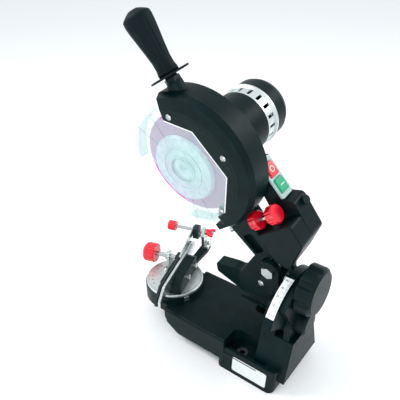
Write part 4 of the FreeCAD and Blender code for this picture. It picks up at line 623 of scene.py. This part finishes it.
@dataclass
class Head(SubAssembly):
    """Arm, guard, clear cover, motor, handle and electrics."""

    button_top: float = 72.0
    switch_x: float = -45.0
    switch_y: float = 76.5
    button_pitch: float = 24.0
    grip_low: float = 28.5
    grip_high: float = 112.5
    grip_bore: float = 5.2
    grip_hollow: float = 27.5
    grip_x: float = -9.0
    grip_steps: int = 120
    flutes: int = 10
    flute_depth: float = 0.045
    flute_fade: float = 8.0
    grip_angle: float = 7.5
    grip_at: float = 146.9
    grip_out: float = 94.304
    face_front: float = 15.0
    face_thick: float = 2.2
    lip_radius: float = 79.4
    drum_end: float = 161.0
    opening: tuple[tuple[float, float], ...] = ((-66.0, 22.7), (-34.1, 55.2), (36.5, 58.9), (78.0, 14.5))
    boss_radius: float = 49.2
    hub_radius: float = 18.6
    boss_top: float = 18.6
    depth_x: float = -17.0
    depth_y: float = 114.5
    depth_radius: float = 4.0
    depth_pitch: float = 1.25

    def build(self) -> None:
        """Dress the head and add its small marks."""
        self.wear(Finishes.CAST, "arm", "wheel_guard", "motor_bell")
        self.wear(Finishes.MOULDED, "motor_end_cap", "handle_stud", "electrics_case", "case_lid", "motor_gland",
                  "cooling_fan")
        self.wear(Finishes.GRIP, "handle_flange", "motor_lead")
        self.wear(Finishes.STEEL, "head_screws", "spindle_bearings", "depth_stop_rod")
        self.wear(Finishes.SILVER, "motor_vent_ring", "run_capacitor")
        self.wear(Finishes.BRONZE, "arm_bushes")
        self.wear(Finishes.CORE, "stator", "rotor")
        self.wear(Finishes.GREY, "switch_plate", "contact_block")
        self.wear(Finishes.RED, "stop_button", "depth_stop_knob", "depth_lock_knob")
        self.wear(Finishes.GREEN, "start_button")
        self._grip()
        self._guard_face()
        self._cover()
        self._button_marks()
        self._depth_thread()

    def _grip(self) -> None:
        """Grip that flares from its waist to a broad rounded end, with shallow flutes."""
        low, high, bore = self.grip_low, self.grip_high, self.grip_bore
        section = [(bore, low), (13.6, low), (13.8, low + 4), (12.6, low + 9), (12.6, low + 20), (14.2, low + 34),
                   (16.4, low + 50), (18.0, high - 22), (18.7, high - 13), (18.2, high - 8), (16.4, high - 6),
                   (13.2, high - 3.8), (9.6, high - 1.6), (6.6, high), (0.01, high), (0.01, low + self.grip_hollow),
                   (bore, low + self.grip_hollow)]
        mesh = ring_mesh(section, self.grip_steps)
        for vert in mesh.verts:
            height = vert.co.z / MM
            rise = max(0.0, min(1.0, (height - low - 10) / self.flute_fade))
            fall = max(0.0, min(1.0, (high - 12 - height) / self.flute_fade))
            wave = max(0.0, math.cos(self.flutes * math.atan2(vert.co.y, vert.co.x))) ** 3
            dent = wave * self.flute_depth * (rise * fall)
            vert.co.x *= 1 - dent
            vert.co.y *= 1 - dent
        turn = math.radians(self.grip_angle)
        at_angle = math.radians(self.grip_at)
        place = DATUM.head() @ at(self.grip_x, self.grip_out * math.cos(at_angle), self.grip_out * math.sin(at_angle))
        place = place @ toward((0, -math.cos(turn), math.sin(turn)))
        piece = self.add("handle_grip_flared", mesh, place, Finishes.GRIP, "head", "rubber_grip", True)
        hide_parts("handle_grip")

    def _guard_face(self) -> None:
        """Flat cast face that fills the guard's lip down to the straight-edged opening."""
        mesh = bmesh.new()
        end = math.radians(self.drum_end)
        low = math.atan2(self.opening[-1][1], self.opening[-1][0])
        start = mesh.verts.new(Vector((0, math.cos(end), math.sin(end))) * self.lip_radius * MM)
        bmesh.ops.spin(mesh, geom=[start], cent=(0, 0, 0), axis=(1, 0, 0), angle=low - end, steps=56)
        arc_end = min(mesh.verts, key=lambda vert: abs(math.atan2(vert.co.z, vert.co.y) - low))
        corners_in = [mesh.verts.new(Vector((0, y, z)) * MM) for y, z in self.opening[:-1]]
        chain = [start, *corners_in, arc_end]
        for first, second in zip(chain, chain[1:]):
            mesh.edges.new((first, second))
        bmesh.ops.contextual_create(mesh, geom=mesh.edges[:])
        grown = bmesh.ops.extrude_face_region(mesh, geom=mesh.faces[:])
        moved = [item for item in grown["geom"] if isinstance(item, bmesh.types.BMVert)]
        bmesh.ops.translate(mesh, vec=Vector((self.face_thick, 0, 0)) * MM, verts=moved)
        place = DATUM.head() @ at(self.face_front - self.face_thick + 0.1, 0, 0)
        self.add("guard_face", mesh, place, Finishes.CAST, "head", "black_casting")

    def _cover(self) -> None:
        """Clear cover cut to the straight opening: frosted boss and hub, clear outer plate, and near-opaque white bars
        along the opening's edges as a painted highlight.
        """
        to_head = DATUM.head().inverted()
        source = self.frame["nodes"]["clear_cover"].data
        for name, finish, inside in (("cover_boss", Finishes.FROSTED, True), ("cover_plate", Finishes.CLEAR, False)):
            mesh = bmesh.new()
            mesh.from_mesh(source)
            bmesh.ops.remove_doubles(mesh, verts=mesh.verts, dist=1e-6)
            bmesh.ops.transform(mesh, matrix=to_head, verts=mesh.verts)
            for (y0, z0), (y1, z1) in zip(self.opening, self.opening[1:]):
                outward = Vector((0, z0 - z1, y1 - y0))
                cut = bmesh.ops.bisect_plane(mesh, geom=mesh.verts[:] + mesh.edges[:] + mesh.faces[:],
                                             plane_co=Vector((0, y0, z0)) * MM, plane_no=outward, clear_outer=True)
                rim = [item for item in cut["geom_cut"] if isinstance(item, bmesh.types.BMEdge)]
                bmesh.ops.holes_fill(mesh, edges=rim)
            apart = [face for face in mesh.faces if (self._radius(face) < self.boss_radius * MM) != inside]
            bmesh.ops.delete(mesh, geom=apart, context="FACES")
            piece = self.add(name, mesh, DATUM.head(), finish, "head", "clear_plastic")
            if inside:
                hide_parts("clear_cover")
        hub = ring_mesh([(0.01, -1.6), (8.0, -1.6), (self.hub_radius, -2.4), (self.hub_radius, -0.6), (9.0, 0.0),
                         (7.5, -0.7), (0.01, -0.7)], 64)
        self.add("cover_hub", hub, DATUM.head() @ at(self.boss_top, 0, 0) @ toward((1, 0, 0)), Finishes.FROSTED,
                 "head", "clear_plastic", True)
        # White bars along the opening's straight edges: a painted highlight of the cover's rim, not separate parts.
        edges = bmesh.new()
        for (y0, z0), (y1, z1) in zip(self.opening, self.opening[1:]):
            length = math.hypot(y1 - y0, z1 - z0)
            turn = Matrix.Rotation(math.atan2(z1 - z0, y1 - y0), 4, "X")
            join(edges, box_mesh((3.0, length, 1.5), 0.4), at(self.face_front - 1.0, (y0 + y1) / 2, (z0 + z1) / 2)
                 @ turn @ at(0, 0, -0.8))
        self.add("cover_edge_painted_highlights", edges, DATUM.head(), Finishes.EDGE, "head", "clear_plastic")

    def _radius(self, face: bmesh.types.BMFace) -> float:
        """How far a face's middle lies from the wheel's axis, in metres."""
        middle = face.calc_center_median()
        return math.hypot(middle.y, middle.z)

    def _button_marks(self) -> None:
        """A raised ring on the stop button and a bar on the start button."""
        stop = ring_mesh([(3.3, 0), (4.3, 0), (4.3, 0.35), (3.3, 0.35)], 36)
        place = DATUM.head() @ at(self.switch_x, self.switch_y - self.button_pitch / 2, self.button_top)
        self.add("stop_mark", stop, place, Finishes.WHITE, "stop_press", "scale_white")
        start = box_mesh((7.6, 1.1, 0.4), 0.1)
        place = DATUM.head() @ at(self.switch_x, self.switch_y + self.button_pitch / 2, self.button_top + 0.15)
        self.add("start_mark", start, place, Finishes.WHITE, "start_press", "scale_white")

    def _depth_thread(self) -> None:
        """Thread on the depth screw below the arm and between its two knobs."""
        place = DATUM.head() @ at(self.depth_x, self.depth_y, 0)
        lower = thread_mesh(self.depth_radius, 0.45, self.depth_pitch, 10.6)
        self.add("depth_thread_low", lower, place @ at(0, 0, -35.5), Finishes.STEEL, "depth_screw", "steel")
        upper = thread_mesh(self.depth_radius, 0.45, self.depth_pitch, 20.0)
        self.add("depth_thread_high", upper, place @ at(0, 0, 29.0), Finishes.STEEL, "depth_screw", "steel")


@dataclass
class Spindle(SubAssembly):
    """Wheel, flanges, shaft and rotor."""

    blotter_outer: float = 33.0
    blotter_inner: float = 24.2

    def build(self) -> None:
        """Dress the turning parts and add the wheel's blotter."""
        self.wear(Finishes.WHEEL, "grinding_wheel")
        self.wear(Finishes.SILVER, "wheel_flanges")
        self.wear(Finishes.STEEL, "motor_shaft", "spindle_nut")
        section = [(self.blotter_inner, 0), (self.blotter_outer, 0), (self.blotter_outer, 0.2),
                   (self.blotter_inner, 0.2)]
        place = DATUM.head() @ at(1.61, 0, 0) @ toward((1, 0, 0))
        self.add("wheel_blotter", ring_mesh(section, 72), place, Finishes.PAPER, "spindle", "scale_white")


@dataclass
class Vise(SubAssembly):
    """Chain vise on its graduated disc, with the chain stop."""

    disc_radius: float = 48.0
    tick_step: int = 5
    screw_along: float = -30.0
    screw_height: float = 17.0
    stop_along: float = -79.0
    stop_height: float = 47.0
    clamp_pitch: float = 1.25
    stop_pitch: float = 1.0

    def build(self) -> None:
        """Dress the vise, engrave its disc and cut its threads."""
        self.wear(Finishes.SILVER, "vise_disc")
        self.wear(Finishes.CAST, "vise_body")
        self.wear(Finishes.ZINC, "rear_jaw", "clamp_bracket", "stop_bracket", "stop_pawl")
        self.wear(Finishes.OXIDE, "front_jaw", "clamp_shoe", "stop_carrier")
        self.wear(Finishes.STEEL, "vise_bolt", "vise_screws", "guide_pins", "clamp_screw", "stop_screw")
        self.wear(Finishes.RED, "clamp_knob", "stop_adjust_knob", "stop_wing_nut")
        self.wear(Finishes.MOULDED, "vise_lock_knob")
        self._disc_marks()
        self._threads()

    def _disc_marks(self) -> None:
        """Engraved ticks and numbers round the disc's front half."""
        marks = bmesh.new()
        for degree in range(-180, 180, self.tick_step):
            long_tick = degree % 15 == 0
            length = 5.0 if long_tick else 3.0
            radial = Matrix.Rotation(math.radians(degree), 4, "Z") @ at(self.disc_radius - 1.6 - length / 2, 0, 0)
            join(marks, box_mesh((length, 0.4, 0.12)), radial)
        for degree in range(-45, 46, 15):
            radial = Matrix.Rotation(math.radians(degree - 90), 4, "Z") @ at(self.disc_radius - 10.0, 0, 0)
            join(marks, text_mesh(str(abs(degree)), 4.0, 0.12), radial @ Matrix.Rotation(math.radians(90), 4, "Z"))
        self.add("disc_marks", marks, DATUM.vise(), Finishes.INK, "vise", "black_plastic")

    def _threads(self) -> None:
        """Threads on the clamp screw and the chain stop's screw."""
        clamp = DATUM.vise() @ at(self.screw_along, 0, self.screw_height) @ toward((0, -1, 0))
        self.add("clamp_thread", thread_mesh(4.0, 0.4, self.clamp_pitch, 17.0), clamp @ at(0, 0, 28.0), Finishes.STEEL,
                 "clamp", "steel")
        stop = DATUM.vise() @ at(self.stop_along, 0, self.stop_height) @ toward((0, -1, 0))
        self.add("stop_thread", thread_mesh(3.0, 0.35, self.stop_pitch, 24.0), stop @ at(0, 0, 2.0), Finishes.STEEL,
                 "stop_drive", "steel")


@dataclass(frozen=True)
class Camera:
    """The photograph's viewpoint, in millimetres and degrees."""

    place: tuple[float, float, float] = (490.98, 260.96, 627.3)
    heading: float = 37.93
    pitch: float = 31.72
    roll: float = -1.23
    focal_px: float = 500.0
    image_px: float = 400.0
    sensor: float = 36.0

    def build(self) -> None:
        """Create the camera and make it the scene's."""
        turn = math.radians(self.heading)
        down = math.radians(self.pitch)
        right = Vector((-math.sin(turn), math.cos(turn), 0))
        ahead = Vector((-math.cos(turn) * math.cos(down), -math.sin(turn) * math.cos(down), -math.sin(down)))
        up = right.cross(ahead)
        axes = Matrix((right, up, -ahead)).transposed().to_4x4()
        data = bpy.data.cameras.new("photo_camera")
        data.sensor_width = self.sensor
        data.lens = self.focal_px / self.image_px * self.sensor
        data.clip_start = 0.01
        data.clip_end = 20
        camera = bpy.data.objects.new("photo_camera", data)
        camera.matrix_world = Matrix.Translation(Vector(self.place) * MM) @ axes @ Matrix.Rotation(
            math.radians(self.roll), 4, "Z")
        bpy.context.scene.collection.objects.link(camera)
        bpy.context.scene.camera = camera


@dataclass(frozen=True)
class Lamp:
    """A soft rectangular light aimed at a point."""

    name: str
    place: tuple[float, float, float]
    aim: tuple[float, float, float]
    size: float
    power: float
    colour: Colour = (1.0, 1.0, 1.0)

    def build(self) -> None:
        """Create the light."""
        data = bpy.data.lights.new(self.name, "AREA")
        data.shape = "SQUARE"
        data.size = self.size
        data.energy = self.power
        data.color = self.colour
        lamp = bpy.data.objects.new(self.name, data)
        direction = Vector(self.aim) - Vector(self.place)
        lamp.matrix_world = Matrix.Translation(Vector(self.place)) @ toward(tuple(-direction))
        bpy.context.scene.collection.objects.link(lamp)


@dataclass
class Studio:
    """Pale floor, soft lights and the camera."""

    lamps: tuple[Lamp, ...] = field(default_factory=lambda: (
        Lamp("key", (0.5, -1.2, 1.4), (0, -0.1, 0.2), 0.7, 15),
        Lamp("side", (1.5, 0.7, 0.7), (0, 0, 0.2), 0.8, 7),
        Lamp("rim", (-1.0, 0.9, 1.4), (0, 0, 0.3), 0.7, 12)))
    floor_half: float = 6.0
    world_strength: float = 0.95

    def build(self) -> None:
        """Create the stage."""
        mesh = bmesh.new()
        bmesh.ops.create_grid(mesh, x_segments=1, y_segments=1, size=self.floor_half)
        data = bpy.data.meshes.new("floor")
        mesh.to_mesh(data)
        mesh.free()
        floor = bpy.data.objects.new("floor", data)
        pale = Finish("pale_floor", (0.92, 0.93, 0.93), Sheen.MATTE, grain_mm=3, grain_depth=0.01, mottle=0.01)
        data.materials.append(pale.build())
        bpy.context.scene.collection.objects.link(floor)
        for lamp in self.lamps:
            lamp.build()
        world = bpy.data.worlds.new("studio")
        world.use_nodes = True
        background = world.node_tree.nodes["Background"]
        background.inputs["Color"].default_value = (0.93, 0.97, 1.0, 1)
        background.inputs["Strength"].default_value = self.world_strength
        bpy.context.scene.world = world
        bpy.context.scene.view_settings.view_transform = "Standard"
        Camera().build()


def corners(bounds: tuple) -> list[list[float]]:
    """Two corners as plain lists."""
    return [list(map(float, corner)) for corner in bounds]


def main() -> None:
    """Build every sub-assembly in order, then the studio."""
    logging.basicConfig(level=logging.INFO, format="%(message)s")
    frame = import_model()
    finishes = Finishes()
    assemblies: tuple[Callable[[dict, Finishes], SubAssembly], ...] = (Base, TiltBracket, Head, Spindle, Vise)
    for assembly in assemblies:
        assembly(frame, finishes).build()
    Studio().build()


if __name__ == "__main__":
    main()
